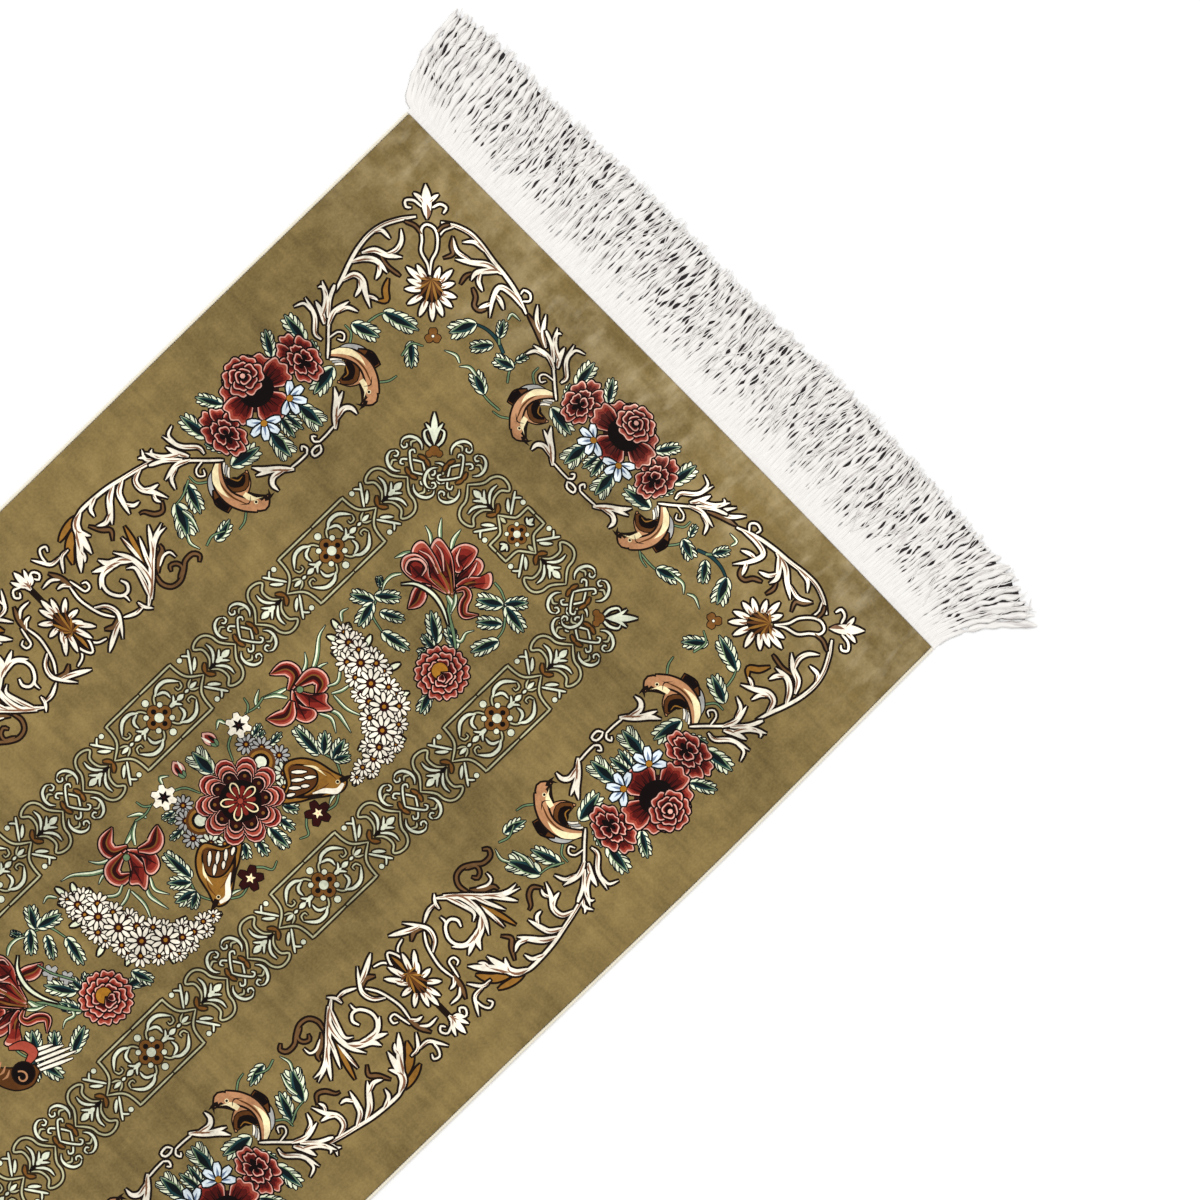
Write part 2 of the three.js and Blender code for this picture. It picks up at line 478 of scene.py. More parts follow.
@dataclass(frozen=True)
class Flowers:
    """The red, pink, blue and white flowers.

    Attributes:
        line: Width of the dark line about a red petal, mm.
        rim: Width of its pink rim, mm.
        veined: Radius past which a petal has veins, mm.
        pale: Radius past which a petal also has the lightest red, mm.
    """

    line: float = 1.7
    rim: float = 1.3
    veined: float = 12
    pale: float = 18

    def petal(self, radius: float, spread: float, turn: float, lobes: int = 2,
              base: Yarn = Yarn.WINE, hollow: float = 0.5) -> Drawing:
        """A red petal along a direction, shaded from its pink rim to a dark base."""
        drawing = Drawing()
        drawing.edged([moved(fan(radius, spread, lobes), turn=turn)], Yarn.PINK, Yarn.BLACK,
                      self.line)
        body = 1 - self.rim / radius
        tones = (Yarn.CORAL, Yarn.ROSE, Yarn.CRIMSON)
        for step, yarn in enumerate(tones[0 if radius > self.pale else 1:]):
            shape = fan(radius * (body - 0.09 * step), spread * (0.93 - 0.05 * step), lobes)
            drawing.fill(moved(shape, turn=turn), yarn)
        if radius > self.veined:
            for share in (-0.66, -0.24, 0.24, 0.66):
                drawing.fill(blade((0, 0), turn + share * spread / 2, radius * body * 0.92, 0,
                                   radius * 0.06, (1, 1, 0.75, 0)), Yarn.WINE)
        drawing.fill(moved(fan(radius * hollow, spread * 0.78, 1, 0.1), turn=turn), base)
        return drawing

    def whorl(self, radius: float, counts: Sequence[int], inner: float = 0.3,
              lobes: int = 2, start: float = 0) -> Drawing:
        """Rings of petals, each ring smaller and on top of the last.

        Args:
            radius: Radius of the outer ring, mm.
            counts: Petals in each ring, from the outside.
            inner: Radius of the innermost ring as a share of the outer.
            lobes: Scallops on each petal.
            start: Direction of the first petal, degrees.

        Returns:
            The drawing.
        """
        drawing = Drawing()
        drawing.fill(disc(radius * 0.75), Yarn.WINE)
        for ring, count in enumerate(counts):
            size = radius * (1 - (1 - inner) * ring / max(len(counts) - 1, 1))
            for index in range(count):
                turn = start + 360 * (index + 0.5 * (ring % 2)) / count
                drawing.add(self.petal(size, 1.22 * 360 / count, turn, lobes, hollow=0.66))
        return drawing

    def rose(self, radius: float) -> Drawing:
        """A full five-petalled rose with its bud leaning out towards +Y."""
        drawing = Drawing()
        drawing.fill(disc(radius * 0.62), Yarn.WINE)
        for turn, reach, spread in ((40, 0.92, 70), (140, 0.92, 70), (-6, 1.0, 62),
                                    (186, 1.0, 62), (-90, 0.98, 78)):
            drawing.add(self.petal(radius * reach, spread, turn, 3, Yarn.BLACK, 0.42))
            for share in (-0.45, 0.05, 0.5):
                drawing.fill(blade((0, 0), turn + share * spread / 2, radius * reach * 0.7, 4,
                                   radius * 0.06, (1, 1, 0.7, 0)), Yarn.BLACK)
        drawing.fill(disc(radius * 0.42, (0, -radius * 0.04)) * (1.15, 1.0), Yarn.BLACK)
        for turn in (12, 168):
            drawing.add(self.petal(radius * 0.5, 70, turn, 2, Yarn.BLACK, 0.7), y=radius * 0.4)
        drawing.add(self.whorl(radius * 0.54, (6, 5, 3), 0.4, 2, 30), y=radius * 0.48)
        drawing.fill(disc(radius * 0.13, (0, radius * 0.48)), Yarn.BLACK)
        drawing.fill(disc(radius * 0.07, (0, radius * 0.5)), Yarn.PINK)
        return drawing

    def small_rose(self, radius: float) -> Drawing:
        """A loose, lopsided rose whose heart leans towards +X."""
        drawing = Drawing()
        drawing.fill(disc(radius * 0.7), Yarn.WINE)
        for turn, reach, spread in ((165, 1.0, 58), (215, 0.95, 60), (112, 0.98, 58),
                                    (262, 0.98, 54), (62, 0.95, 60), (318, 0.98, 56),
                                    (8, 1.0, 66)):
            drawing.add(self.petal(radius * reach, spread, turn))
        for turn, reach in ((150, 0.62), (230, 0.6), (20, 0.66), (90, 0.55), (-60, 0.58)):
            drawing.add(self.petal(radius * reach, 76, turn, 3, Yarn.BLACK, 0.6), x=radius * 0.1)
        drawing.add(self.petal(radius * 0.4, 110, 200, 2, Yarn.BLACK, 0.6), x=radius * 0.2)
        drawing.fill(disc(radius * 0.14, (radius * 0.22, 0)), Yarn.BLACK)
        return drawing

    def peony(self, radius: float) -> Drawing:
        """A many-petalled flower with a gold heart off its middle."""
        drawing = self.whorl(radius, (10, 8, 6), 0.52, 2, 12)
        drawing.dot(radius * 0.3, (-radius * 0.12, 0), Yarn.GOLD, Yarn.WINE, 1.2)
        drawing.add(self.petal(radius * 0.42, 95, 0, hollow=0.6), x=-radius * 0.02)
        drawing.add(self.petal(radius * 0.3, 80, -60, hollow=0.6), x=radius * 0.05)
        return drawing

    def rosette(self, radius: float, petals: int = 10) -> Drawing:
        """The field's round flower: three rings of banded petals about a red heart."""
        drawing = Drawing()
        drawing.fill(disc(radius * 0.85, sides=24), Yarn.WINE)
        for size, body in ((1.0, Yarn.ROSE), (0.86, Yarn.CORAL), (0.72, Yarn.BLACK)):
            for index in range(petals):
                turn = 360 * (index + 0.5) / petals
                shape = moved(fan(radius * size, 1.14 * 360 / petals, 1), turn=turn)
                drawing.edged([shape], Yarn.PINK, Yarn.BLACK, 1.3)
                drawing.fill(shape * (1 - self.rim / (radius * size)), body)
                drawing.fill(shape * (1 - 3.2 * self.rim / (radius * size)), Yarn.WINE)
        drawing.fill(disc(radius * 0.5, sides=20), Yarn.BLACK)
        for index in range(petals):
            turn = 360 * index / petals
            between = turn + 180 / petals
            drawing.edged([moved(fan(radius * 0.36, 22, 1, 0.0), turn=between)], Yarn.ROSE,
                          Yarn.WINE, 0.7)
            drawing.fill(moved(disc(radius * 0.042, (radius * 0.6, 0)), turn=between), Yarn.ORANGE)
            spoke = arc((radius * 0.16, 0), 0, radius * 0.36, 100 * (-1) ** index, 2.4)
            drawing.fill(moved(tapered(spoke, (0.6, 1.2, 1.5, 1.2)), turn=turn), Yarn.STRAW)
        drawing.dot(radius * 0.07, (0, 0), Yarn.CORAL, Yarn.WINE, 0.9)
        return drawing

    def star(self, radius: float, petals: int, fill: Yarn, edge: Yarn, heart: Yarn) -> Drawing:
        """A small open flower of round petals."""
        drawing = Drawing()
        width = 0.8 * 2 * math.pi * radius * 0.62 / petals
        shapes = [moved(blade((0, 0), 0, radius, 0, width, (0.35, 0.8, 1.0, 0.95, 0.62)),
                        turn=360 * index / petals + 90) for index in range(petals)]
        drawing.edged(shapes, fill, edge, 1.0)
        drawing.fill(disc(radius * 0.26), edge)
        drawing.fill(disc(radius * 0.17), heart)
        return drawing

    def daisy(self, radius: float) -> Drawing:
        """A white flower with a dark star at its heart."""
        drawing = self.star(radius, 6, Yarn.CREAM, Yarn.OUTLINE, Yarn.BLACK)
        drawing.fill(disc(radius * 0.72), Yarn.CREAM)
        for index in range(6):
            drawing.fill(blade((0, 0), 60 * index + 60, radius * 0.58, 0, radius * 0.34, RAY),
                         Yarn.BLACK)
        drawing.fill(disc(radius * 0.1), Yarn.WINE)
        return drawing

    def wine_flower(self, radius: float) -> Drawing:
        """A dark red flower with a pale star at its heart."""
        drawing = self.star(radius, 5, Yarn.WINE, Yarn.BLACK, Yarn.WINE)
        for index in range(5):
            drawing.fill(blade((0, 0), 72 * index + 90, radius * 0.42, 0, radius * 0.24, RAY),
                         Yarn.STRAW)
        drawing.fill(disc(radius * 0.08), Yarn.PINK)
        return drawing

    def sky_flower(self, radius: float) -> Drawing:
        """A pale blue flower, open towards +X, with a gold heart."""
        drawing = Drawing()
        for turn in (-100, 100, -52, 52, 0):
            path = arc((0, 0), turn, radius, 0)
            shape = tapered(path, [radius * 0.42 * s for s in (0.3, 0.7, 1.0, 1.0, 0.6)])
            drawing.edged([shape], Yarn.SKY, Yarn.INK, 1.8)
            vein = tapered(path[: len(path) * 4 // 5], (radius * 0.16, radius * 0.17, 0.2))
            drawing.fill(vein, Yarn.BLUE)
        drawing.dot(radius * 0.2, (0, 0), Yarn.GOLD, Yarn.OUTLINE, 0.8)
        return drawing

    def bud(self, length: float) -> Drawing:
        """A rosebud along +X with its green cup at the root."""
        drawing = Drawing()
        drawing.edged([blade((0, 0), 0, length, 0, length * 0.62, TONGUE)], Yarn.PINK, Yarn.WINE,
                      1.1)
        for x, y, heading, reach, width, yarn in (
            (0.1, 0, 0, 0.75, 0.42, Yarn.ROSE), (0.2, -0.08, 0, 0.5, 0.16, Yarn.BLACK),
            (0.3, 0.12, 8, 0.6, 0.12, Yarn.CREAM),
        ):
            drawing.fill(blade((length * x, length * y), heading, length * reach, 0,
                               length * width), yarn)
        for side in (1, -1):
            cup = blade((-1, 0), side * 38, length * 0.4, -side * 30, length * 0.16)
            drawing.edged([cup], Yarn.LEAF, Yarn.INK, 0.8)
        return drawing

    def blob(self, heart: Spot, *knots: Spot) -> Drawing:
        """A free petal through knots on its rim, shaded and veined towards its heart."""
        rim = spline(knots, 3, True)
        away = rim - heart
        body = 1 - self.rim / float(np.hypot(*away.T).mean())
        drawing = Drawing()
        drawing.edged([rim], Yarn.PINK, Yarn.BLACK, self.line)
        for size, yarn in ((body, Yarn.CORAL), (body - 0.16, Yarn.ROSE),
                           (body - 0.5, Yarn.CRIMSON)):
            drawing.fill(away * size + heart, yarn)
        for tip in np.array(knots[::2], float):
            end = heart + (tip - heart) * 0.86
            drawing.brush([heart, tuple((end + heart) / 2), tuple(end)], (2.0, 1.8, 1.2, 0.2),
                          Yarn.WINE)
        return drawing

    def blossom(self, radius: float, fill: Yarn = Yarn.CREAM, petals: int = 10) -> Drawing:
        """A small many-petalled white flower with a brown and gold eye."""
        drawing = Drawing()
        drawing.fill(disc(radius * 0.85), Yarn.OUTLINE)
        shapes = []
        for turn in (360 * index / petals + 10 for index in range(petals)):
            root = moved(np.array([(radius * 0.36, 0.0)]), turn=turn)[0]
            shapes.append(blade(tuple(root), turn, radius * 0.68, 0, radius * 0.3,
                                (0.35, 0.85, 1.0, 0.9, 0.5)))
        drawing.edged(shapes, fill, Yarn.OUTLINE, 1.3)
        drawing.fill(disc(radius * 0.36), Yarn.WINE)
        drawing.fill(disc(radius * 0.16), Yarn.GOLD)
        return drawing

    def tongue(self, width: float, *knots: Spot) -> Drawing:
        """A long iris petal along knots, with a rolled pink rim and lines along it."""
        path = spline(knots, 2.5)
        drawing = Drawing()
        profile = [width * share for share in TONGUE]
        drawing.edged([tapered(path, profile)], Yarn.PINK, Yarn.BLACK, self.line)
        for share, push, yarn in ((0.78, 0.0, Yarn.CORAL), (0.62, -0.15, Yarn.ROSE),
                                  (0.26, -0.9, Yarn.WINE), (0.10, 1.2, Yarn.ORANGE),
                                  (0.07, -4.0, Yarn.WINE)):
            drawing.fill(tapered(path, [w * share for w in profile], push), yarn)
        return drawing


@dataclass(frozen=True)
class Border:
    """The pictorial border, drawn for its left side and mirrored from there.

    Attributes:
        bouquet_x: X of the middle of the left side's bouquet.
        bouquet_y: Its Y.
        palmette_y: Y of the middle of the palmette below it.
        flowers: Its flowers.
        foliage: Its leaves and stems.
        scrolls: Its acanthus.
    """

    bouquet_x: float = -260.0
    bouquet_y: float = 902.0
    palmette_y: float = 600.0
    flowers: Flowers = Flowers()
    foliage: Foliage = Foliage()
    scrolls: Scrollwork = Scrollwork()

    def bird(self) -> Drawing:
        """The bird above the left side's bouquet, arched towards the field."""
        drawing = Drawing()
        dark, tan, brush = Yarn.OUTLINE, Yarn.TAN, drawing.brush
        brush([(-256, 986), (-250, 997), (-241, 1004), (-231, 1007)], (2, 7, 7, 5), Yarn.LILAC,
              dark, 1.4)
        brush([(-252, 992), (-245, 999), (-236, 1004)], (0, 2.4, 0), Yarn.CREAM)
        brush([(-240, 1003), (-229, 1007), (-216, 1005)], (2, 8, 6), Yarn.BROWN, Yarn.BLACK, 2.0)
        brush([(-233, 1006), (-226, 1007), (-217, 1005)], (7, 8, 6), Yarn.BLACK)
        for index in range(4):
            x = -257 + 3.4 * index
            brush([(x, 976), (x + 4, 981), (x + 9, 984)], (1.6, 2.2, 1),
                  Yarn.CREAM if index % 2 else Yarn.LILAC, dark, 0.8)
        brush([(-222, 996), (-219, 984), (-223, 974), (-232, 966)], (8, 8, 6, 1), tan, dark)
        brush([(-243, 988), (-234, 987), (-227, 979), (-230, 968)], (3, 13, 15, 4), Yarn.BROWN,
              dark, 1.2)
        brush([(-241, 987), (-234, 985), (-229, 978), (-231, 970)], (2, 10, 11, 2), Yarn.BLACK)
        brush([(-238, 983), (-231, 979), (-231, 973)], (0.6, 1.6, 0.6), Yarn.OCHRE)
        back = spline([(-259, 979), (-250, 989), (-238, 996), (-224, 997), (-211, 992), (-199, 983)])
        head = spline([(-203, 983), (-196, 978), (-199, 968)])
        drawing.edged([tapered(back, (4, 8, 10, 10, 11, 11.5, 10.5)), tapered(head, (11.5, 9, 1))],
                      tan, dark, 2.2)
        drawing.fill(tapered(back[len(back) // 5: -2], (0, 1.6, 2.0, 1.6, 0), -2.4), Yarn.BROWN)
        drawing.fill(tapered(back[: len(back) * 3 // 5], (2, 6, 7, 4, 0), 0.7), Yarn.STRAW)
        brush([(-217, 984), (-210, 982), (-203, 974)], (5, 6, 1), Yarn.STRAW)
        brush([(-216, 980), (-207, 976), (-200, 968)], (2, 4, 1), dark)
        drawing.dot(1.5, (-203, 981), dark, Yarn.STRAW, 0.8)
        for tip in ((-197, 961), (-204, 963)):
            brush([(-199, 973), (-197, 968), tip], (4.2, 3.4, 0.3), dark)
        brush([(-212, 994), (-207, 987), (-211, 981)], (0.4, 1.5, 0.4), dark)
        return drawing

    def half_bouquet(self) -> Drawing:
        """What repeats above and below a side bouquet's middle: leaves, bird and scrolls."""
        return self.foliage.leaves(
            ((-285, 971), (-318, 975), 20), ((-297, 937), (-321, 951), 15),
            ((-263, 968), (-281, 977), 10, 3), ((-246, 972), (-240, 940), 22),
            ((-241, 922), (-211, 924), 24, 6), ((-247, 904), (-222, 908), 14, 4),
        ).gather(
            self.foliage.sprig((-250, 1000), (-258, 1010), (-268, 1011)),
            self.foliage.sprig((-203, 995), (-197, 1003), (-195, 1012)),
            self.bird(),
            self.scrolls.draw(
                line(2.6, (-256, 975), (-266, 986), (-276, 996), (-285, 1006)),
                finger(5, (-274, 984), (-283, 984), (-296, 996), (-316, 1002)),
                finger(3, (-300, 997), (-312, 997), (-317, 987)),
                finger(6, (-283, 997), (-293, 1003), (-306, 1007)),
                finger(6, (-290, 1000), (-300, 1016), (-316, 1026)),
                finger(4, (-301, 1018), (-311, 1022), (-314, 1018)),
                line(4.2, (-285, 1004), (-297, 1018), (-304, 1032)),
                finger(5.5, (-279, 998), (-285, 1012), (-282, 1031)),
                finger(4, (-283, 1014), (-279, 1025), (-268, 1030)),
                line(1.8, (-270, 990), (-268, 1001), (-262, 1004), (-258, 999), (-263, 996)),
            ),
            self.scrolls.draw(
                line(2.2, (-202, 910), (-202, 920), (-203, 932)),
                line(2.2, (-202, 911), (-206, 907), (-211, 909), (-208, 912)),
                finger(7, (-200, 931), (-211, 942), (-221, 953), (-231, 960)),
                finger(5, (-209, 939), (-216, 950), (-222, 963)),
                finger(6, (-206, 936), (-209, 950), (-204, 957), (-195, 957)),
            ),
        )

    def bouquet(self) -> Drawing:
        """The left side's big rose with its smaller flowers, birds and scrolls."""
        half, middle = self.half_bouquet(), self.bouquet_y
        drawing = Drawing().gather(
            half, half.mirrored_at(middle),
            self.scrolls.draw(line(2.4, (-199, 909), (-194, 905), (-195, 897), (-200, 898),
                                   (-201, 904), (-199, 909))),
        )
        small = self.flowers.small_rose(24).mapped(lambda p: p * (1.18, 0.8))
        for side in (1, -1):
            drawing.add(small, -276, middle + side * 53, mirrored=side < 0)
        drawing.add(self.flowers.rose(38), -284, middle, turn=90)
        for side in (1, -1):
            drawing.add(self.flowers.sky_flower(17), -254, middle + side * 18, turn=side * 36)
        return drawing

    def scrolls_between(self) -> Drawing:
        """The left side's scrolls and leaves between a palmette and the bouquet above it."""
        brown, ochre = Yarn.HUSK, Yarn.OCHRE
        sprig, grass = self.foliage.sprig, self.foliage.grass
        return self.foliage.leaves(
            ((-263, 786), (-233, 775), 18), ((-257, 764), (-223, 748), 24, 6, -20),
            ((-203, 768), (-209, 792), 15, 4, 20),
        ).gather(
            sprig((-266, 790), (-259, 776), (-257, 764)),
            sprig((-206, 757), (-209, 768), (-204, 780)),
            grass(3.2, (-248, 764), (-236, 765), (-221, 761)),
            grass(2.6, (-228, 751), (-219, 747), (-208, 750)),
            self.scrolls.draw(
                line(3.2, (-221, 700), (-210, 698), (-201, 703), (-199, 713), (-204, 723),
                     (-210, 731), (-210, 741), (-204, 745), (-200, 741), yarn=brown),
                line(2.6, (-202, 715), (-207, 724), (-214, 723), (-217, 717), (-213, 714),
                     yarn=brown),
                lens(5.5, (-220, 703), (-228, 711), (-234, 722), (-240, 724), yarn=brown),
                finger(2.8, (-224, 709), (-229, 719), (-227, 726), (-219, 727)),
                lens(3.4, (-270, 757), (-262, 750), (-265, 742), (-274, 736), (-276, 731),
                     yarn=brown),
                lens(3.8, (-303, 686), (-291, 693), (-284, 699), (-275, 693), yarn=brown),
                finger(7, (-319, 682), (-316, 667), (-312, 654), yarn=ochre),
                finger(9, (-310, 672), (-300, 657), (-286, 648), yarn=ochre),
                lens(5, (-278, 712), (-260, 707), (-236, 700), yarn=ochre),
                lens(4, (-272, 702), (-255, 701), (-236, 699)),
            ),
            self.scrolls.draw(
                line(4, (-289, 803), (-297, 790), (-304, 778), (-309, 762), (-313, 745),
                     (-317, 727), (-319, 708), (-319, 690), (-314, 679)),
                finger(4, (-303, 781), (-311, 774), (-321, 778)),
                finger(3, (-309, 774), (-314, 773), (-317, 769)),
                finger(6, (-308, 764), (-303, 752), (-292, 750), (-281, 757), (-267, 763)),
                finger(4.5, (-291, 751), (-286, 757), (-284, 766)),
                finger(3.6, (-281, 756), (-275, 753), (-269, 755)),
                finger(6, (-313, 744), (-306, 732), (-297, 728), (-282, 724)),
                finger(4.2, (-293, 728), (-286, 733), (-285, 740)),
                finger(7, (-315, 733), (-308, 721), (-299, 713), (-287, 704)),
                finger(5, (-297, 712), (-293, 701), (-297, 692)),
                finger(4.5, (-319, 712), (-314, 700), (-305, 697)),
                finger(9, (-319, 690), (-312, 678), (-299, 673), (-280, 669)),
                finger(4.5, (-308, 675), (-299, 678), (-294, 681)),
                finger(8, (-309, 675), (-296, 667), (-285, 657), (-274, 648)),
                finger(4, (-291, 663), (-284, 662), (-279, 658)),
            ),
            self.scrolls.draw(
                finger(7, (-203, 673), (-217, 690), (-236, 710), (-248, 726), (-254, 741)),
                finger(5, (-231, 704), (-243, 719), (-248, 730), (-248, 741)),
                finger(5, (-237, 711), (-249, 721), (-262, 730)),
                finger(4.5, (-226, 700), (-243, 707), (-260, 715)),
                finger(6.5, (-206, 680), (-219, 691), (-236, 695), (-252, 693), (-267, 685)),
                finger(5, (-208, 680), (-226, 687), (-240, 690), (-246, 683)),
                finger(8, (-247, 693), (-256, 684), (-262, 674), (-272, 669)),
                finger(6.5, (-254, 684), (-259, 672), (-267, 656)),
                finger(6, (-256, 677), (-258, 663), (-249, 650)),
                line(3.4, (-257, 662), (-250, 655), (-240, 654), (-230, 660), (-228, 668),
                     (-234, 673), (-241, 671)),
                finger(2.6, (-233, 657), (-227, 663), (-219, 663)),
                finger(4, (-206, 668), (-207, 658), (-213, 646)),
                finger(3.6, (-213, 668), (-206, 669), (-198, 675)),
            ),
            self.scrolls.draw(
                line(2.6, (-272, 630), (-257, 628), (-243, 630), (-230, 634), (-219, 641)),
                finger(4.4, (-240, 633), (-232, 643), (-220, 646), (-209, 640), (-197, 631)),
                lens(5, (-216, 642), (-212, 634), (-217, 625), yarn=brown),
                finger(6, (-212, 642), (-206, 628), (-197, 612)),
                line(2.2, (-276, 634), (-266, 636), (-258, 638), (-258, 644), (-264, 645),
                     (-266, 641)),
                finger(4, (-272, 631), (-278, 626), (-279, 619)),
                lens(5, (-270, 632), (-285, 629), (-297, 624), yarn=brown),
                finger(3.4, (-284, 628), (-290, 621), (-290, 609)),
                finger(3.6, (-300, 655), (-299, 645), (-286, 635)),
                finger(4, (-300, 645), (-301, 633), (-309, 627), (-319, 621)),
                line(2.4, (-305, 630), (-314, 631), (-320, 635), (-318, 641), (-313, 639)),
                line(2.2, (-209, 620), (-213, 610), (-225, 603)),
            ),
        )

    def burst(self, foot: Spot, middle: Spot, tips: Knots, width: float = 6.0) -> Drawing:
        """A palmette: cream petals about a gold and dark heart.

        Args:
            foot: Where the heart's veins meet.
            middle: Middle of the heart.
            tips: Tips of the petals.
            width: Full width of a petal, mm.

        Returns:
            The drawing.
        """
        foot_at, centre, ends = np.array(foot), np.array(middle), np.array(tips, float)
        petals = []
        for tip in ends:
            root = centre + 0.34 * (tip - centre)
            petals.append(finger(width, tuple(root), tuple((root + tip) / 2), tuple(tip)))
        drawing = self.scrolls.draw(*petals)
        drawing.fill(spline([tuple(centre + 0.42 * (tip - centre)) for tip in ends], 3, True),
                     Yarn.OUTLINE)
        for index, tip in enumerate(ends):
            end = centre + 0.5 * (tip - centre)
            drawing.brush([foot, tuple((foot_at + end) / 2), tuple(end)],
                          (0.3, width * 0.34, width * 0.42, 0.2),
                          Yarn.OCHRE if index % 2 else Yarn.BROWN)
        return drawing

    def palmette(self) -> Drawing:
        """The left side's palmette with its outward star."""
        upper = [(-283, 600), (-277, 608), (-267, 619), (-250, 620), (-237, 615), (-225, 621),
                 (-219, 610)]
        lower = [(x, 1200 - y) for x, y in reversed(upper[1:])]
        return self.scrolls.draw(
            line(2.4, (-236, 603), (-222, 606), (-212, 603), (-209, 600), (-212, 597),
                 (-222, 594), (-236, 597)),
            lens(4, (-236, 600), (-225, 601), (-214, 600), yarn=Yarn.OCHRE),
            line(2.6, (-300, 600), (-290, 600), (-280, 600), yarn=Yarn.OUTLINE),
            finger(8, (-297, 600), (-308, 600), (-322, 600)),
            finger(5, (-301, 600), (-310, 606), (-317, 609)),
            finger(5, (-301, 600), (-310, 594), (-317, 591)),
            finger(6, (-302, 600), (-303, 606), (-309, 611)),
            line(2.4, (-306, 605), (-309, 613), (-303, 617), (-299, 613), (-303, 610)),
            line(2.4, (-306, 595), (-309, 587), (-303, 583), (-299, 587), (-303, 590)),
        ).gather(self.burst((-238, 600), (-251, 600), upper + lower))

    def corner(self) -> Drawing:
        """The upper left corner with its finial, ribbon and palmette."""
        brown = Yarn.HUSK
        tips = [(-243, 1120), (-232, 1127), (-221, 1119), (-209, 1110), (-205, 1100),
                (-205, 1087), (-209, 1076), (-222, 1070), (-239, 1070), (-252, 1079),
                (-257, 1088), (-267, 1096), (-261, 1105)]
        drawing = self.foliage.leaves(
            ((-249, 1048), (-212, 1060), 20, 6), ((-209, 1046), (-190, 1028), 16),
            ((-263, 1017), (-235, 1027), 20),
        ).gather(
            self.foliage.sprig((-254, 1030), (-252, 1041), (-249, 1048)),
            self.foliage.sprig((-206, 1030), (-208, 1045), (-198, 1052)),
            self.scrolls.draw(
                line(2.4, (-292, 1085), (-280, 1083), (-265, 1085), yarn=brown),
                lens(6, (-271, 1075), (-265, 1065), (-257, 1058), (-263, 1051), yarn=Yarn.OCHRE),
                line(4, (-296, 1138), (-305, 1125), (-313, 1109), (-316, 1092), (-314, 1074),
                     (-309, 1057), (-304, 1044), (-299, 1028)),
                finger(4.2, (-315, 1097), (-310, 1104), (-298, 1104)),
                finger(6.5, (-308, 1074), (-301, 1085), (-289, 1090), (-276, 1100)),
                finger(5, (-290, 1090), (-286, 1101), (-289, 1111), (-298, 1119)),
                finger(6.5, (-309, 1060), (-302, 1072), (-291, 1079), (-275, 1078)),
                finger(5, (-288, 1079), (-282, 1073), (-279, 1065)),
                finger(6.5, (-302, 1040), (-298, 1053), (-288, 1055), (-276, 1048), (-262, 1041)),
                finger(4.6, (-291, 1054), (-284, 1048), (-281, 1038)),
                finger(3.6, (-273, 1048), (-267, 1051), (-262, 1052)),
            ),
            self.scrolls.draw(
                lens(3.2, (-256, 1151), (-250, 1143), (-243, 1138), (-247, 1128), yarn=brown),
                lens(3, (-216, 1138), (-218, 1131), (-216, 1122), yarn=brown),
                line(3, (-204, 1128), (-196, 1124), (-191, 1117), (-184, 1117), (-180, 1123),
                     yarn=brown),
                lens(5, (-147, 1149), (-130, 1145), (-110, 1136), yarn=brown),
                line(4, (-274, 1152), (-261, 1160), (-246, 1165), (-230, 1165), (-210, 1162),
                     (-190, 1160), (-170, 1156), (-148, 1148)),
                finger(4.4, (-222, 1163), (-236, 1162), (-245, 1153)),
                finger(4, (-262, 1158), (-267, 1149), (-265, 1139)),
                finger(6.5, (-194, 1159), (-211, 1155), (-223, 1146), (-238, 1136)),
                finger(4, (-226, 1146), (-242, 1143), (-255, 1150)),
                finger(6.5, (-197, 1160), (-207, 1150), (-213, 1141), (-211, 1132)),
                finger(4.6, (-210, 1145), (-205, 1137), (-195, 1133)),
                line(2.4, (-160, 1154), (-155, 1160), (-160, 1165), (-167, 1163), (-166, 1158)),
                finger(6, (-152, 1150), (-172, 1152), (-186, 1148), (-182, 1134), (-171, 1119)),
                finger(4.6, (-184, 1140), (-176, 1139), (-167, 1135)),
                finger(4.6, (-180, 1131), (-183, 1125), (-186, 1118)),
                finger(5, (-110, 1138), (-123, 1147), (-134, 1162)),
                finger(4.6, (-125, 1145), (-136, 1151), (-147, 1163)),
            ),
            self.scrolls.draw(
                line(2.6, (-245, 1107), (-254, 1113), (-267, 1117), (-275, 1126), (-283, 1133),
                     (-283, 1140), (-275, 1143), (-266, 1139), (-257, 1129), (-253, 1118),
                     (-244, 1107)),
                line(2.4, (-279, 1130), (-290, 1131), (-300, 1127), yarn=brown),
                line(2.4, (-270, 1142), (-270, 1150), (-267, 1156), yarn=brown),
                lens(12, (-286, 1144), (-298, 1155), (-313, 1168)),
                finger(5, (-297, 1157), (-297, 1164), (-296, 1170)),
                finger(5, (-301, 1153), (-308, 1154), (-315, 1153)),
                line(2.8, (-291, 1156), (-288, 1164), (-281, 1166), (-279, 1160)),
                line(2.8, (-299, 1149), (-309, 1148), (-315, 1142), (-310, 1138), (-306, 1141)),
            ),
            self.burst((-240, 1105), (-232, 1098), tips, 6.8),
        )
        star = self.flowers.star(8, 3, Yarn.ORANGE, Yarn.OUTLINE, Yarn.CREAM)
        drawing.add(star, -198, 1066, 45)
        return drawing

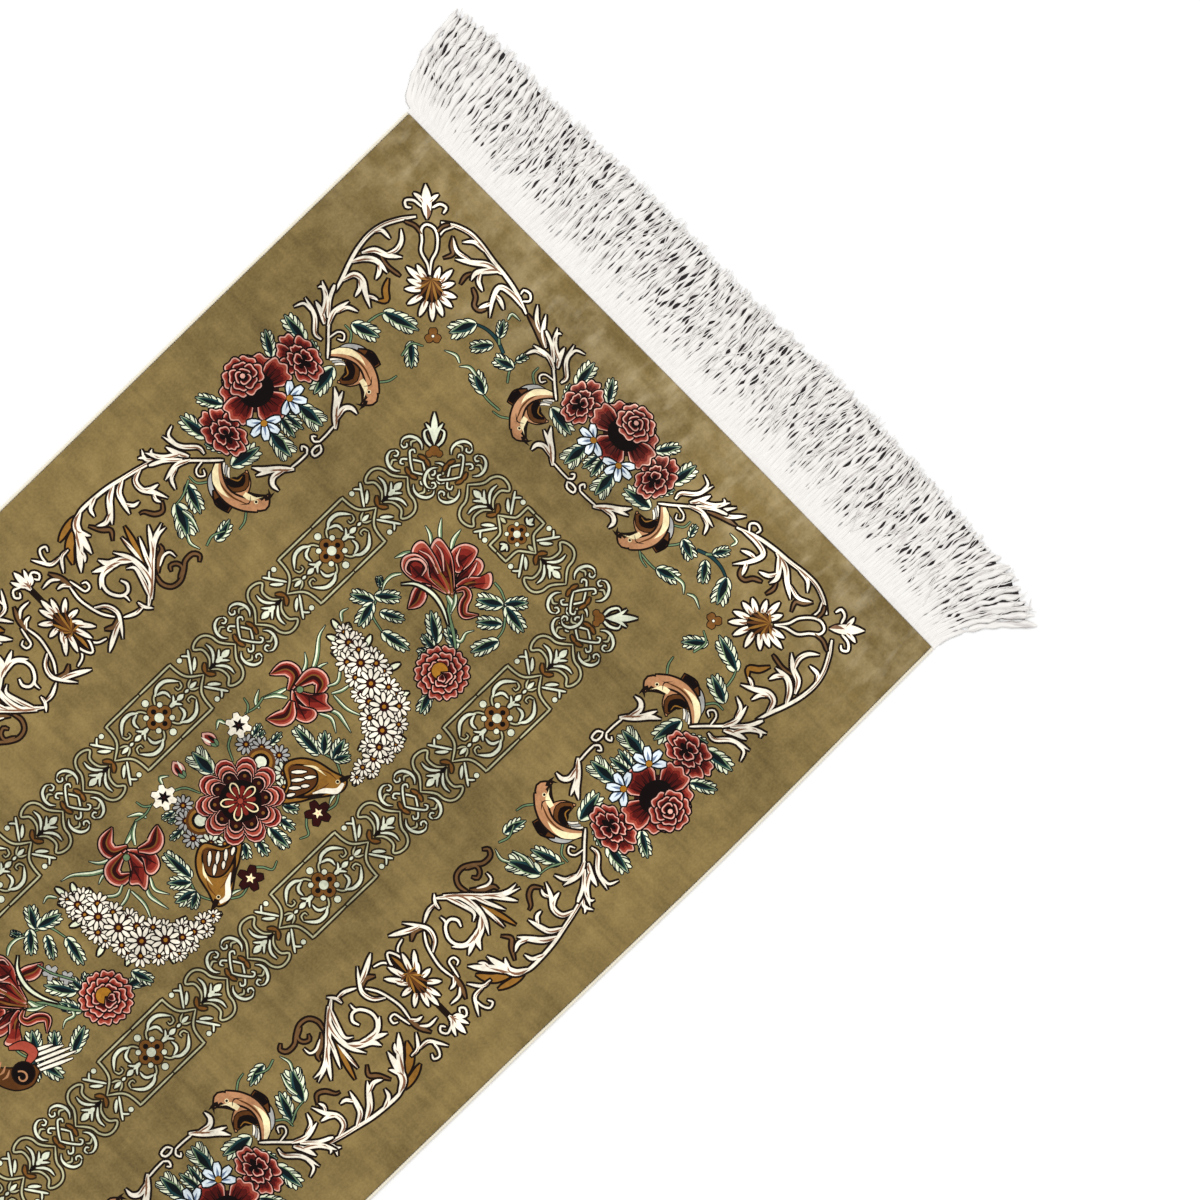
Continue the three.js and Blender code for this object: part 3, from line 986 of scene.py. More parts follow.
    def vine(self) -> Drawing:
        """The leafy vine between a corner and the end's bouquet."""
        sprig, grass = self.foliage.sprig, self.foliage.grass
        return Drawing().gather(
            sprig((-112, 1086), (-119, 1096), (-121, 1108)),
            sprig((-98, 1061), (-112, 1060), (-125, 1061)),
            sprig((-136, 1104), (-150, 1109), (-165, 1109), (-179, 1104), width=2.6,
                  yarn=Yarn.TEAL),
            sprig((-145, 1107), (-153, 1115), (-158, 1126), width=2),
            self.foliage.leaves(
                ((-177, 1105), (-189, 1080), 22), ((-150, 1102), (-164, 1084), 15),
                ((-119, 1101), (-139, 1094), 17), ((-150, 1113), (-160, 1128), 13, 4),
                ((-121, 1108), (-117, 1121), 9, 3), ((-121, 1062), (-144, 1070), 18)),
            grass(3, (-139, 1069), (-150, 1070), (-158, 1063)),
            grass(2.6, (-157, 1131), (-158, 1138), (-147, 1139)),
            grass(2.6, (-160, 1066), (-168, 1069), (-180, 1064)),
        )


@dataclass(frozen=True)
class Band:
    """The inner band of cartouches, shields and knots.

    A unit runs along +Y from a cartouche's middle. Its pieces after the cartouche can be
    drawn nearer, which is how the short band across the rug's end is made.

    Attributes:
        scrolls: How its pale strokes are drawn where they aren't mirrored.
        edge: Width of the olive line about its mirrored strokes, mm.
        slim: Share of their drawn width that mirrored strokes are woven at.
    """

    scrolls: Scrollwork = Scrollwork(Yarn.BAND)
    edge: float = 2.0
    slim: float = 0.84

    def _strokes(self, *strokes: Stroke) -> Drawing:
        """Strokes with their mirror images, pale with a dark olive edge."""
        drawing = Drawing()
        both = [(stroke.outline(self.slim) * (side, 1), stroke.yarn or self.scrolls.yarn)
                for stroke in strokes for side in (-1, 1)]
        drawing.outlined(both, Yarn.OLIVE, self.edge)
        return drawing

    def rosette(self) -> Drawing:
        """The small cross flower in a cartouche's middle, with its white dots."""
        drawing = Drawing()
        arms = ((8.2, 0), (-8.2, 0), (0, 8.2), (0, -8.2))
        drawing.edged([disc(6.2, at) for at in arms], Yarn.ORANGE, Yarn.OLIVE, 1.2)
        for at in arms:
            drawing.fill(disc(2.8, at, 9), Yarn.BLACK)
        drawing.dot(4.8, (0, 0), Yarn.BAND, Yarn.OLIVE, 0.8, 12)
        for x in (-9, 9):
            for y in (-9.5, 9.5):
                drawing.dot(2.7, (x, y), Yarn.BAND, Yarn.OLIVE, 1.1, 9)
        return drawing

    def cartouche(self) -> Drawing:
        """Upper half of a cartouche: its frame, sprays and small lilies."""
        dim = Yarn.BAND_DIM
        drawing = self._strokes(
            line(2.2, (30.5, -1), (30.5, 22.25), (30.5, 43), (29, 44.5), (21.5, 45.1),
                 (13.5, 47), (7.5, 51.5), (0, 62), yarn=dim))
        drawing.edged([disc(3.5, (20, 0), 10), disc(3.5, (-20, 0), 10)], Yarn.BAND, Yarn.OLIVE,
                      1.1)
        return drawing.gather(self._strokes(
            line(1.8, (12, 6), (17, 9), (20, 13), yarn=dim),
            finger(4.0, (18, 12), (23, 19), (23, 28), (19, 34), (12, 40)),
            finger(1.8, (12, 40), (7, 38), (7, 33), (11, 33), yarn=dim),
            finger(3.2, (18, 14), (16, 20), (12, 22.5), (6, 22)),
            lens(5, (0, 14), (0, 19), (0, 25)),
            finger(2.4, (0, 19), (3, 23), (7, 26)),
            lens(6, (0, 25), (0, 29), (0, 34)),
            lens(3.4, (0, 36), (0, 38), (0, 41)),
            finger(2, (1, 42), (4, 45), (6, 50), yarn=dim),
            lens(4.6, (0, 42), (0, 46), (0, 52)),
        ))

    def link(self) -> Drawing:
        """What joins two cartouches: side leaves, shield and half a knot of scrolls."""
        drawing = self._strokes(
            line(2.4, (9, 54), (19, 61), (29, 68)),
            finger(3.6, (10, 58), (14, 63), (19, 68)),
            line(2, (29, 59), (25, 63), (22, 64)),
        )
        drawing.edged([disc(2.6, (27, 54.5), 9), disc(2.6, (-27, 54.5), 9)], Yarn.BAND,
                      Yarn.OLIVE, 1.1)
        drawing.add(self._strokes(
            finger(3.6, (0, 65), (4, 67), (8, 71), yarn=Yarn.ORANGE),
            line(2.2, (1, 71), (7, 77), (14, 79), (20, 78), (25, 72.5), (29, 77), (30, 85),
                 (27, 91), (21, 94.5), (14, 95.5), (8, 99), (0, 106), yarn=Yarn.BAND_DIM),
            finger(3, (2, 77), (8, 83), (14, 85.5), (21, 85)),
            finger(2.6, (0, 82), (4, 87), (8, 91)),
            lens(6, (0, 79), (0, 84), (0, 89)),
            lens(7.5, (0, 87), (0, 91), (0, 98)),
        ))
        drawing.brush([(0, 70), (0, 74), (0, 80)], (2, 4.6, 3, 0), Yarn.BLACK)
        return drawing

    def knot(self) -> Drawing:
        """A knot of interlaced scrolls about its own middle."""
        half = self._strokes(
            lens(3.2, (9, 15), (14, 19), (21, 19.5), (28, 15.5), (30.5, 9), (28, 4)),
            line(1.8, (28, 4), (24, 3.5), (22.5, 7), (25, 9)),
            finger(2.2, (20, 18), (22.5, 13), (19, 9.5), yarn=Yarn.BAND_DIM),
            line(2, (0, 7), (6, 3.5), (12, -1), (17, -6), (15, -9.5), (12, -8)),
            finger(3.4, (0, 11), (4, 10), (8, 8.5), yarn=Yarn.ORANGE),
        )
        return Drawing().gather(half, half.flipped(along_rug=True))

    def corner(self) -> Drawing:
        """The band's outer corner leaf, pointing along +X, about the corner knot's middle."""
        drawing = self.scrolls.draw(
            finger(3, (2, 0), (10, 8), (19, 10), (22, 5)),
            finger(3, (2, 0), (10, -8), (19, -10), (22, -5)),
            finger(4, (8, 0), (19, 3), (28, 9)),
            finger(4, (8, 0), (19, -3), (28, -9)),
            lens(8, (6, 0), (22, 0), (39, 0)),
        )
        drawing.edged([disc(5, (0, 0)), disc(3.4, (-3, 5)), disc(3.4, (-3, -5))], Yarn.ORANGE,
                      Yarn.OLIVE, 1.2)
        return drawing

    def length(self, cartouches: int = 8, pitch: float = 240.7) -> Drawing:
        """The band along one side of the rug, about its own middle line."""
        half = self.cartouche().gather(self.link())
        drawing = Drawing()
        for index in range(cartouches + 1):
            drawing.add(self.knot(), 0, (index - cartouches / 2) * pitch)
        for index in range(cartouches):
            for part in (half, half.flipped(along_rug=True), self.rosette()):
                drawing.add(part, 0, (index - (cartouches - 1) / 2) * pitch)
        return drawing

    def end(self) -> Drawing:
        """The band across the rug's end, along +Y about its own middle."""
        half = Drawing()
        half.add(self.link(), 0, -36)
        half.add(self.knot(), 0, 88)
        half.add(self._strokes(
            line(2.2, (27, -1), (27, 10), (25.5, 11.5), (13, 12), (8, 16), (0, 27),
                 yarn=Yarn.BAND_DIM),
            lens(4, (0, 16), (0, 19), (0, 24), yarn=Yarn.BAND_DIM),
        ))
        drawing = Drawing().gather(half, half.flipped(along_rug=True))
        drawing.add(self.rosette(), size=0.78)
        lily = self.scrolls.draw(
            finger(2.6, (15, 0), (17, 3), (19, 5)),
            finger(2.6, (15, 0), (17, -3), (19, -5)),
            lens(5, (14, 0), (18, 0), (23, 0)),
        )
        return drawing.gather(lily, lily.flipped(across=True))


@dataclass(frozen=True)
class Field:
    """The field's flowers, drawn at their places on the rug for its near half.

    Attributes:
        rosette_y: Y of the rosette, about which the field's flowers are mirrored.
        flowers: Its flowers.
        foliage: Its leaves and stems.
        scrolls: How its pale curved leaves are drawn.
    """

    rosette_y: float = 601.0
    flowers: Flowers = Flowers()
    foliage: Foliage = Foliage()
    scrolls: Scrollwork = Scrollwork(Yarn.LEAF_RIM)

    def lily(self) -> Drawing:
        """The end's large lily, fanning from its foot."""
        grass, blob, tongue = self.foliage.grass, self.flowers.blob, self.flowers.tongue
        drawing = Drawing().gather(
            grass(3.6, (-46, 927), (-54, 934), (-62, 944)),
            grass(3.2, (-49, 917), (-58, 924), (-68, 927)),
            grass(4.2, (-33, 929), (-38, 938), (-40, 950)),
            grass(4.4, (-56, 900), (-62, 892), (-66, 882)),
            grass(3.2, (-50, 876), (-55, 868), (-55, 858), (-50, 849)),
            grass(3.0, (28, 867), (40, 870), (38, 880), (42, 888)),
            self.foliage.sprig((4, 890), (14, 880), (28, 872), (42, 862), width=3),
            blob((-6, 912), (-9, 914), (-11, 934), (-6, 942), (2, 940), (5, 930), (0, 915)),
            blob((2, 912), (-3, 906), (-1, 920), (8, 930), (12, 940), (20, 934), (21, 926),
                 (12, 920), (5, 912)),
            blob((-17, 926), (-12, 916), (-26, 919), (-31, 931), (-26, 943), (-14, 947),
                 (-9, 936), (-9, 924)),
            blob((-14, 908), (1, 898), (-14, 914), (-30, 925), (-48, 928), (-50, 920),
                 (-42, 908), (-24, 899)),
            blob((-30, 900), (-2, 896), (-22, 905), (-40, 912), (-58, 914), (-61, 904),
                 (-52, 894), (-30, 891)),
            blob((-36, 888), (-4, 894), (-26, 893), (-40, 902), (-54, 900), (-60, 889),
                 (-53, 880), (-38, 880), (-22, 888)),
        )
        brush = drawing.brush
        brush([(-37, 892), (-41, 899), (-51, 896), (-52, 887), (-44, 883)], (2, 5, 6, 5, 2),
              Yarn.WINE)
        brush([(-34, 889), (-37, 898), (-47, 899), (-54, 891), (-50, 882), (-42, 882)],
              (0.8, 2.2, 2.2, 1.8, 0.6), Yarn.PINK, Yarn.BLACK, 1.0)
        for knots in (((-22, 908), (-36, 919), (-47, 921)), ((-24, 902), (-42, 908), (-54, 905)),
                      ((-14, 922), (-22, 926), (-27, 936)), ((0, 920), (-2, 930), (-5, 938))):
            brush(knots, (0.6, 2.0, 0.6), Yarn.PINK, Yarn.WINE, 0.9)
        for knots in (((2, 897), (-12, 908), (-30, 918)), ((2, 896), (-16, 903), (-38, 906)),
                      ((1, 895), (-16, 895), (-30, 893)), ((3, 900), (3, 915), (10, 925))):
            brush(knots, (0.6, 2.4, 2, 0), Yarn.ORANGE)
        for knots in (((0, 900), (-8, 915), (-12, 934)), ((1, 899), (-14, 912), (-30, 924))):
            brush(knots, (0.6, 2, 1.6, 0), Yarn.BLACK)
        return drawing.gather(
            tongue(9, (1, 903), (5, 910), (12, 908), (16, 898), (24, 892), (34, 902)),
            tongue(15, (-19, 887), (-24, 879), (-20, 868), (-20, 856)),
            grass(5, (-2, 893), (8, 890), (14, 882)),
            grass(3.4, (3, 900), (9, 893), (13, 884)),
            self.scrolls.draw(lens(3.6, (-43, 868), (-32, 879), (-14, 884), (4, 881), (20, 873))),
        )

    def spray(self) -> Drawing:
        """The lily with its leaves and the peony beside it."""
        sprig = self.foliage.sprig
        drawing = Drawing().gather(
            sprig((44, 926), (55, 918), (62, 908), (64, 896)),
            sprig((22, 936), (32, 935), (44, 930)),
            sprig((-54, 850), (-48, 838), (-40, 826), (-20, 821)),
            self.foliage.leaves(
                ((45, 929), (60, 946), 16), ((48, 927), (78, 922), 18), ((43, 926), (21, 911), 20),
                ((56, 912), (37, 895), 16), ((66, 897), (55, 870), 18),
                ((-52, 842), (-33, 859), 16), ((-50, 837), (-71, 825), 17),
                ((-49, 834), (-42, 808), 18), ((-36, 834), (-14, 846), 13),
                ((-20, 821), (11, 828), 16), ((24, 853), (-3, 871), 18), ((42, 862), (20, 872), 15),
                ((28, 843), (20, 831), 14), ((30, 846), (8, 848), 12), ((56, 812), (64, 791), 16),
                ((-55, 852), (-64, 858), 8)),
        )
        drawing.add(self.flowers.peony(27), 50, 835)
        return drawing.gather(self.lily())

    def garland(self) -> Drawing:
        """The arc of small white blossoms."""
        grass = self.foliage.grass
        drawing = Drawing().gather(
            grass(2.8, (-20, 744), (-17, 756), (-33, 774)),
            grass(2.8, (-12, 742), (-7, 752), (-5, 768)),
            grass(2.8, (-9, 742), (10, 742), (28, 749)),
            grass(2.8, (-57, 800), (-64, 806), (-62, 814)),
        )
        for root, tip in (
            ((-44, 797), (-52, 803)), ((-52, 792), (-65, 794)), ((-46, 784), (-57, 779)),
            ((-22, 799), (-27, 811)), ((10, 799), (14, 812)), ((36, 786), (41, 798)),
            ((58, 755), (73, 762)), ((62, 750), (77, 748)), ((47, 738), (48, 721)),
            ((67, 718), (76, 709)), ((65, 706), (70, 693)), ((-30, 776), (-42, 771)),
        ):
            drawing.add(self.scrolls.draw(lens(5.5, *midway(root, tip))))
        for x, y, radius in (
            (52, 732, 9), (71, 737, 8), (-40, 781, 9), (-12, 798, 8), (33, 787, 8), (-34, 797, 8),
            (8, 795, 8), (57, 768, 9), (8, 762, 9), (40, 744, 8), (69, 752, 8), (72, 716, 7),
            (66, 701, 7), (63, 712, 9), (64, 726, 11), (60, 738, 11), (-48, 794, 8),
            (-37, 790, 12), (-25, 792, 10), (23, 787, 10), (-3, 795, 11), (-24, 775, 11),
            (20, 763, 12), (44, 781, 11), (-7, 770, 10), (32, 752, 10), (60, 755, 10),
            (-14, 784, 13), (8, 777, 14), (34, 770, 14), (50, 752, 14),
        ):
            drawing.add(self.flowers.blossom(radius), x, y, turn=x * 7)
        return drawing

    def iris(self) -> Drawing:
        """The iris below the garland, with its leaves."""
        sprig, grass = self.foliage.sprig, self.foliage.grass
        blob, tongue = self.flowers.blob, self.flowers.tongue
        drawing = Drawing().gather(
            grass(4, (-40, 740), (-49, 757), (-62, 773), (-66, 786)),
            grass(3.6, (-44, 728), (-51, 744), (-61, 752)),
            grass(3, (-38, 742), (-40, 752), (-37, 761)),
            grass(4, (-47, 714), (-51, 702), (-58, 688)),
            grass(3.6, (-40, 707), (-50, 700), (-57, 688)),
            grass(3.4, (-52, 680), (-59, 682), (-66, 693)),
            sprig((-57, 690), (-55, 678), (-58, 666)),
            grass(3.6, (-4, 727), (6, 732), (16, 731), (30, 728)),
            grass(3, (-6, 719), (6, 724), (20, 717)),
            sprig((26, 694), (40, 697), (56, 690)),
            self.foliage.leaves(
                ((22, 690), (-14, 692), 17, 7), ((26, 694), (10, 711), 16, 4),
                ((36, 697), (30, 719), 18, 4), ((38, 697), (46, 712), 14, 4)),
            tongue(15, (-44, 714), (-50, 728), (-62, 727), (-69, 711)),
            tongue(16, (-42, 722), (-38, 741), (-26, 742), (-21, 728)),
            blob((-26, 724), (-40, 716), (-24, 728), (-15, 738), (-9, 732), (0, 731), (-7, 721),
                 (-16, 715)),
            blob((-22, 708), (-42, 716), (-26, 711), (-12, 718), (-6, 714), (-8, 704), (-19, 699),
                 (-31, 705)),
            tongue(16, (-34, 708), (-27, 693), (-39, 677)),
        )
        drawing.dot(3.4, (-37, 722), Yarn.LEAF, Yarn.WINE, 0.9)
        return drawing

    def songbird(self) -> Drawing:
        """The gold bird beside a rosette, its beak up and out."""
        drawing = Drawing()
        dark, brush = Yarn.OUTLINE, drawing.brush
        body = spline([(60, 691), (65, 682), (60, 670), (50, 656), (42, 642), (30, 629),
                       (24, 646), (8, 657), (12, 671), (26, 682), (46, 687)], 3, True)
        drawing.edged([body], Yarn.OCHRE, dark, 2.3)
        brush([(30, 636), (44, 650), (54, 664), (61, 680)], (1, 3.6, 3, 0.5), dark)
        wing = spline([(13, 660), (20, 670), (33, 675), (42, 667), (41, 653), (32, 637),
                       (26, 650)], 3, True)
        drawing.edged([wing], Yarn.BROWN, Yarn.BLACK, 1.9)
        for root, tip in (((17, 658), (27, 669)), ((30, 663), (37, 672)), ((23, 652), (31, 662)),
                          ((27, 645), (35, 654)), ((34, 655), (39, 661)), ((31, 638), (35, 645))):
            brush(midway(root, tip), (1.4, 3.4, 3.0, 0.8), Yarn.CREAM, Yarn.BLACK, 1.3)
        brush([(20, 671), (30, 678), (44, 680)], (0, 3, 0), Yarn.STRAW)
        for knots in (((46, 659), (50, 668), (51, 677)), ((20, 652), (12, 659), (14, 667)),
                      ((33, 679), (43, 684), (55, 685)), ((43, 650), (47, 659), (45, 668))):
            brush(knots, (0.4, 1.8, 0.4), Yarn.BROWN)
        brush([(61, 687), (62, 677), (53, 668), (47, 658)], (3, 6, 5, 1), Yarn.CREAM)
        brush([(57, 687), (59, 692), (61, 699)], (5, 4, 0), dark, dark, 0.6)
        drawing.dot(1.6, (56, 684), Yarn.BLACK, Yarn.STRAW, 0.6)
        return drawing

    def half_medallion(self) -> Drawing:
        """What stands above the rosette and is mirrored below it."""
        flowers, sprig, grass = self.flowers, self.foliage.sprig, self.foliage.grass
        drawing = Drawing().gather(
            sprig((-52, 641), (-46, 631), (-32, 624)), sprig((66, 676), (71, 666), (68, 652)),
            sprig((60, 637), (66, 631), (74, 626), (71, 617)),
            sprig((-57, 668), (-62, 674), (-70, 676)), grass(3, (-64, 645), (-71, 642), (-66, 634)),
            grass(3, (62, 678), (64, 668), (67, 662)),
            self.foliage.leaves(
                ((-18, 662), (-19, 679), 9, 3), ((-36, 656), (-40, 670), 9, 3),
                ((36, 628), (49, 637), 13, 3), ((41, 616), (61, 620), 13, 3),
                ((-30, 655), (-33, 668), 8, 3)),
        )
        for x, y, radius in ((-35, 645, 10), (-22, 654, 10), (-4, 661, 10), (12, 652, 11),
                             (22, 642, 8)):
            drawing.add(flowers.blossom(radius, Yarn.LILAC if x < 8 else Yarn.BAND), x, y)
        for radius, yarn in ((15, Yarn.BROWN), (12, Yarn.OCHRE), (9, Yarn.BLACK), (6, Yarn.BAND)):
            drawing.fill(disc(radius, (-12, 643)), yarn)
        drawing.add(flowers.daisy(13), -54, 653)
        drawing.add(flowers.wine_flower(13), 65, 648)
        drawing.add(flowers.bud(19), -55, 624, turn=188)
        return drawing.gather(self.songbird())

    def medallion(self) -> Drawing:
        """The rosette with its birds, leaves and small flowers."""
        half = self.half_medallion()
        drawing = self.foliage.leaves(((-38, 601), (-67, 601), 26, 6), ((42, 603), (70, 603), 17, 6))
        drawing.gather(half, half.mirrored_at(self.rosette_y))
        drawing.add(self.flowers.rosette(43), 2, self.rosette_y)
        return drawing

    def long_tailed_bird(self) -> Drawing:
        """The dark bird with the striped white tail, towards the rug's middle."""
        drawing = Drawing()
        dark, brush = Yarn.OUTLINE, drawing.brush
        for root, tip in (((36, 276), (46, 296)), ((41, 274), (54, 303)), ((46, 272), (61, 307)),
                          ((51, 270), (67, 308)), ((55, 268), (70, 301))):
            brush(midway(root, tip), (2, 3.2, 3.2, 1), Yarn.CREAM, dark, 1.2)
        brush([(18, 262), (26, 274), (38, 276), (42, 264)], (3, 9, 10, 4), Yarn.CORAL, dark, 1.4)
        brush([(52, 268), (50, 252), (38, 240), (24, 236), (14, 244)], (8, 20, 22, 18, 9, 2),
              Yarn.BROWN, dark, 1.6)
        drawing.dot(11, (46, 255), Yarn.BLACK, dark, 1.4)
        drawing.fill(tapered(arc((41, 252), 60, 26, -300, 1.4), (1.6, 2, 1.4)), Yarn.TAN)
        for x in (22, 28, 34):
            brush([(x, 247), (x + 3, 241), (x + 2, 235)], (1, 2.6, 0.5), Yarn.TAN)
        drawing.dot(1.8, (18, 243), Yarn.GOLD, dark, 0.8)
        return drawing

    def near_half(self) -> Drawing:
        """All that grows on the field between the rug's middle and its near end."""
        middle = self.iris().gather(self.garland())
        below = middle.mirrored_at(self.rosette_y)
        spray = self.spray()
        drawing = Drawing().gather(middle, below, below.mirrored_at(self.rosette_y / 2), spray,
                                   spray.mirrored_at(self.rosette_y))
        for x, y, radius in ((-7, 345, 8), (8, 353, 7)):
            drawing.add(self.flowers.star(radius, 5, Yarn.LILAC, Yarn.OUTLINE, Yarn.WINE), x, y)
        return drawing.gather(
            self.foliage.sprig((15, 357), (8, 353), (-7, 345), (-22, 341)),
            self.foliage.leaves(((50, 404), (72, 412), 15)),
            self.long_tailed_bird(),
            self.medallion(),
        )


def read_curve(stations: Sequence[float], values: Sequence[float], at: Points) -> Points:
    """Reads a table as a smooth curve that runs through its values.

    Args:
        stations: Where the values stand, rising.
        values: The table's values.
        at: Where to read.

    Returns:
        The values there.
    """
    places, table = np.array(stations, float), np.array(values, float)
    index = np.clip(np.searchsorted(places, at, side="right") - 1, 0, len(places) - 2)
    step = (at - places[index]) / (places[index + 1] - places[index])
    t = np.clip(step, 0, 1)
    ends = np.concatenate([table[:1], table, table[-1:]])
    a, b, c, d = (ends[index + k] for k in range(4))
    low, high = (c - a) / 2, (d - b) / 2
    cubic, square = 2 * b - 2 * c + low + high, 3 * c - 3 * b - 2 * low - high
    return cubic * t**3 + square * t**2 + low * t + b


@dataclass(frozen=True)
class RugPlan:
    """The woven body's outline in mm, as uneven as it left the loom.

    Attributes:
        width: Nominal width of the pile.
        length: Nominal length of the pile.
        thickness: Height of the pile's top above the floor.
        rounding: How far the pile's edge is rounded off.
        drawn_at: Share of half the length where the pattern was laid out.
        stations: Shares of half the length at which the sides are given.
        left: How far the left side stands out past the straight side there.
        right: The same for the right side.
        end_wave: Height of the near end's wave, and its turn over half the width and at the
            middle, radians.
        end_tilt: How far the near end drops from its middle to its right corner beside that.
    """

    width: float = 750.0
    length: float = 2410.0
    thickness: float = 4.0
    rounding: float = 0.8
    drawn_at: float = 0.75
    stations: tuple[float, ...] = (-1.0, -0.75, -0.5, -0.25, 0.0, 0.25, 0.5, 0.75, 1.0)
    left: tuple[float, ...] = (0.4, 1.1, -1.2, -0.6, 0.9, 1.5, 0.6, -0.4, -1.6)
    right: tuple[float, ...] = (-0.6, 1.4, 0.8, -1.6, -2.2, -3.0, -1.2, 2.4, -0.8)
    end_wave: Triple = (1.1, 2.6, 0.8)
    end_tilt: float = 0.5

    def bulge(self, side: int, share: Points) -> Points:
        """How far a side stands out at shares of half the length."""
        table = self.left if side < 0 else self.right
        return read_curve(self.stations, table, np.asarray(share, float))

    def side(self, side: int, share: Points) -> Points:
        """X of a side at shares of half the length."""
        return side * (self.width / 2 + self.bulge(side, share))

    def end_rise(self, across: Points) -> Points:
        """How far the near end stands out at shares of half the width."""
        rise, turn, start = self.end_wave
        return rise * np.sin(turn * across + start) - self.end_tilt * across

    def end_line(self, end: int, across: Points, inset: float = 0.0) -> Points:
        """Points of an end line.

        Args:
            end: 1 for the near end, -1 for the far one.
            across: Shares of half the width.
            inset: How far the line is drawn in, mm.

        Returns:
            The points, with X and Y on the last axis.
        """
        across = np.asarray(across, float)
        left, right = (self.side(side, np.array(float(end))) for side in (-1, 1))
        x = left + inset + (right - left - 2 * inset) * (across + 1) / 2
        y = self.length / 2 + self.end_rise(end * across) - inset
        return np.stack([x, end * y], -1)

    def outline(self, inset: float = 0.0, sides: int = 36, ends: int = 24) -> Points:
        """The pile's outline, counter-clockwise from its near right corner.

        Args:
            inset: How far it is drawn in all round.
            sides: Steps along a side.
            ends: Steps along an end.

        Returns:
            The outline's points.
        """
        along_side = np.linspace(-1, 1, sides + 1) * (1 - 1 / sides)
        across = np.linspace(-1, 1, ends + 1)
        y = along_side * self.length / 2
        left = np.stack([self.side(-1, along_side) + inset, y], 1)
        right = np.stack([self.side(1, along_side) - inset, y], 1)
        near, far = self.end_line(1, across, inset), self.end_line(-1, across, inset)
        return np.vstack([near[::-1], left[::-1], far, right])

    def settle(self, points: Points) -> Points:
        """Moves points of the drawn pattern to where the uneven weaving put them."""
        x, y = points.T
        share = np.clip(y / (self.length / 2), -1, 1)
        drawn = np.array(self.drawn_at)
        left = self.side(-1, share) - self.side(-1, drawn)
        right = self.side(1, share) - self.side(1, drawn)
        mix = np.clip(x / self.width + 0.5, 0, 1)
        across = 2 * mix - 1
        rise = np.where(y > 0, self.end_rise(across), -self.end_rise(-across))
        return np.stack([x + left + (right - left) * mix, y + rise * np.abs(share)], 1)


@dataclass(frozen=True)
class RugDesign:
    """How the border, the band and the field are set out on the whole rug.

    Attributes:
        middle: X of the pattern's middle line where it was laid out.
        repeat: Length of the border's repeat.
        band: Distance of the band's two lengths from the middle line.
        band_end: Y of the short band across the near end.
        bouquet: Middle of the end's bouquet.
        flatter: Share of its height that the end's bouquet is woven at.
    """

    middle: float = 3.0
    repeat: float = 600.0
    band: float = 118.0
    band_end: float = 986.0
    bouquet: Spot = (8.0, 1112.0)
    flatter: float = 0.87

    def half_side(self) -> Drawing:
        """The left border from the rug's middle to its near corner."""
        border = Border()
        scrolls, bouquet = border.scrolls_between(), border.bouquet()
        drawing = Drawing().gather(scrolls, scrolls.mirrored_at(border.palmette_y))
        drawing.add(scrolls, 0, -self.repeat)
        drawing.gather(border.palmette(), border.corner(), border.vine(), bouquet)
        drawing.add(bouquet, 0, -self.repeat)
        return drawing

    def end_bouquet(self) -> Drawing:
        """The bouquet in the middle of the near end."""
        border = Border()
        x, y = self.bouquet
        return border.bouquet().mapped(lambda p: np.stack(
            [x - (p[:, 1] - border.bouquet_y), y - self.flatter * (p[:, 0] - border.bouquet_x)],
            1))

    def across(self, drawing: Drawing) -> Drawing:
        """A drawing mirrored about the pattern's middle line."""
        return drawing.mapped(lambda p: p * (-1, 1) + (2 * self.middle, 0))

    def near_half(self) -> Drawing:
        """Border and band ends of the near half, with both sides."""
        side = self.half_side()
        drawing = Drawing().gather(side, self.across(side), self.end_bouquet())
        drawing.add(Band().end(), self.middle, self.band_end, turn=90)
        for side_x, turn in ((-self.band, 135), (self.band, 45)):
            drawing.add(Band().corner(), self.middle + side_x, self.band_end, turn=turn)
        return drawing

    def drawing(self) -> Drawing:
        """The whole rug's pattern, as it was drawn."""
        whole, plants = Drawing(), Field()
        for x in (-self.band, self.band):
            whole.add(Band().length(), self.middle + x, 0)
        near, palmette = self.near_half(), Border().palmette()
        whole.gather(near, near.flipped(along_rug=True))
        for part in (palmette, self.across(palmette)):
            whole.add(part, 0, -self.repeat)
        flowers = plants.near_half()
        whole.gather(flowers, flowers.flipped(along_rug=True))
        whole.add(plants.medallion(), 0, -plants.rosette_y)
        return whole


@dataclass
class Skin:
    """A flat sheet of coloured triangles.

    Attributes:
        points: The corners, in mm.
        faces: Three corners of each triangle, counter-clockwise.
        yarns: Index of each triangle's yarn in the list of yarns.
    """

    points: Points
    faces: np.ndarray
    yarns: np.ndarray


@dataclass(frozen=True)
class Patch:
    """A rectangle of the rug's plan, in mm; a side that is far off cuts nothing.

    Attributes:
        low: Its lower left corner.
        high: Its upper right corner.
    """

    low: Spot
    high: Spot

    def holds(self, points: Points, margin: float = 0.0) -> Points:
        """Which points lie in it, or within a margin of it."""
        return ((points > np.array(self.low) - margin)
                & (points < np.array(self.high) + margin)).all(1)

    def on_cut(self, points: Points) -> Points:
        """For each point, a bit for every side of the patch that it lies on."""
        bits = np.zeros(len(points), int)
        sides = ((0, self.low[0]), (0, self.high[0]), (1, self.low[1]), (1, self.high[1]))
        for bit, (axis, value) in enumerate(sides):
            bits |= (np.abs(points[:, axis] - value) < 1e-6).astype(int) << bit
        return bits


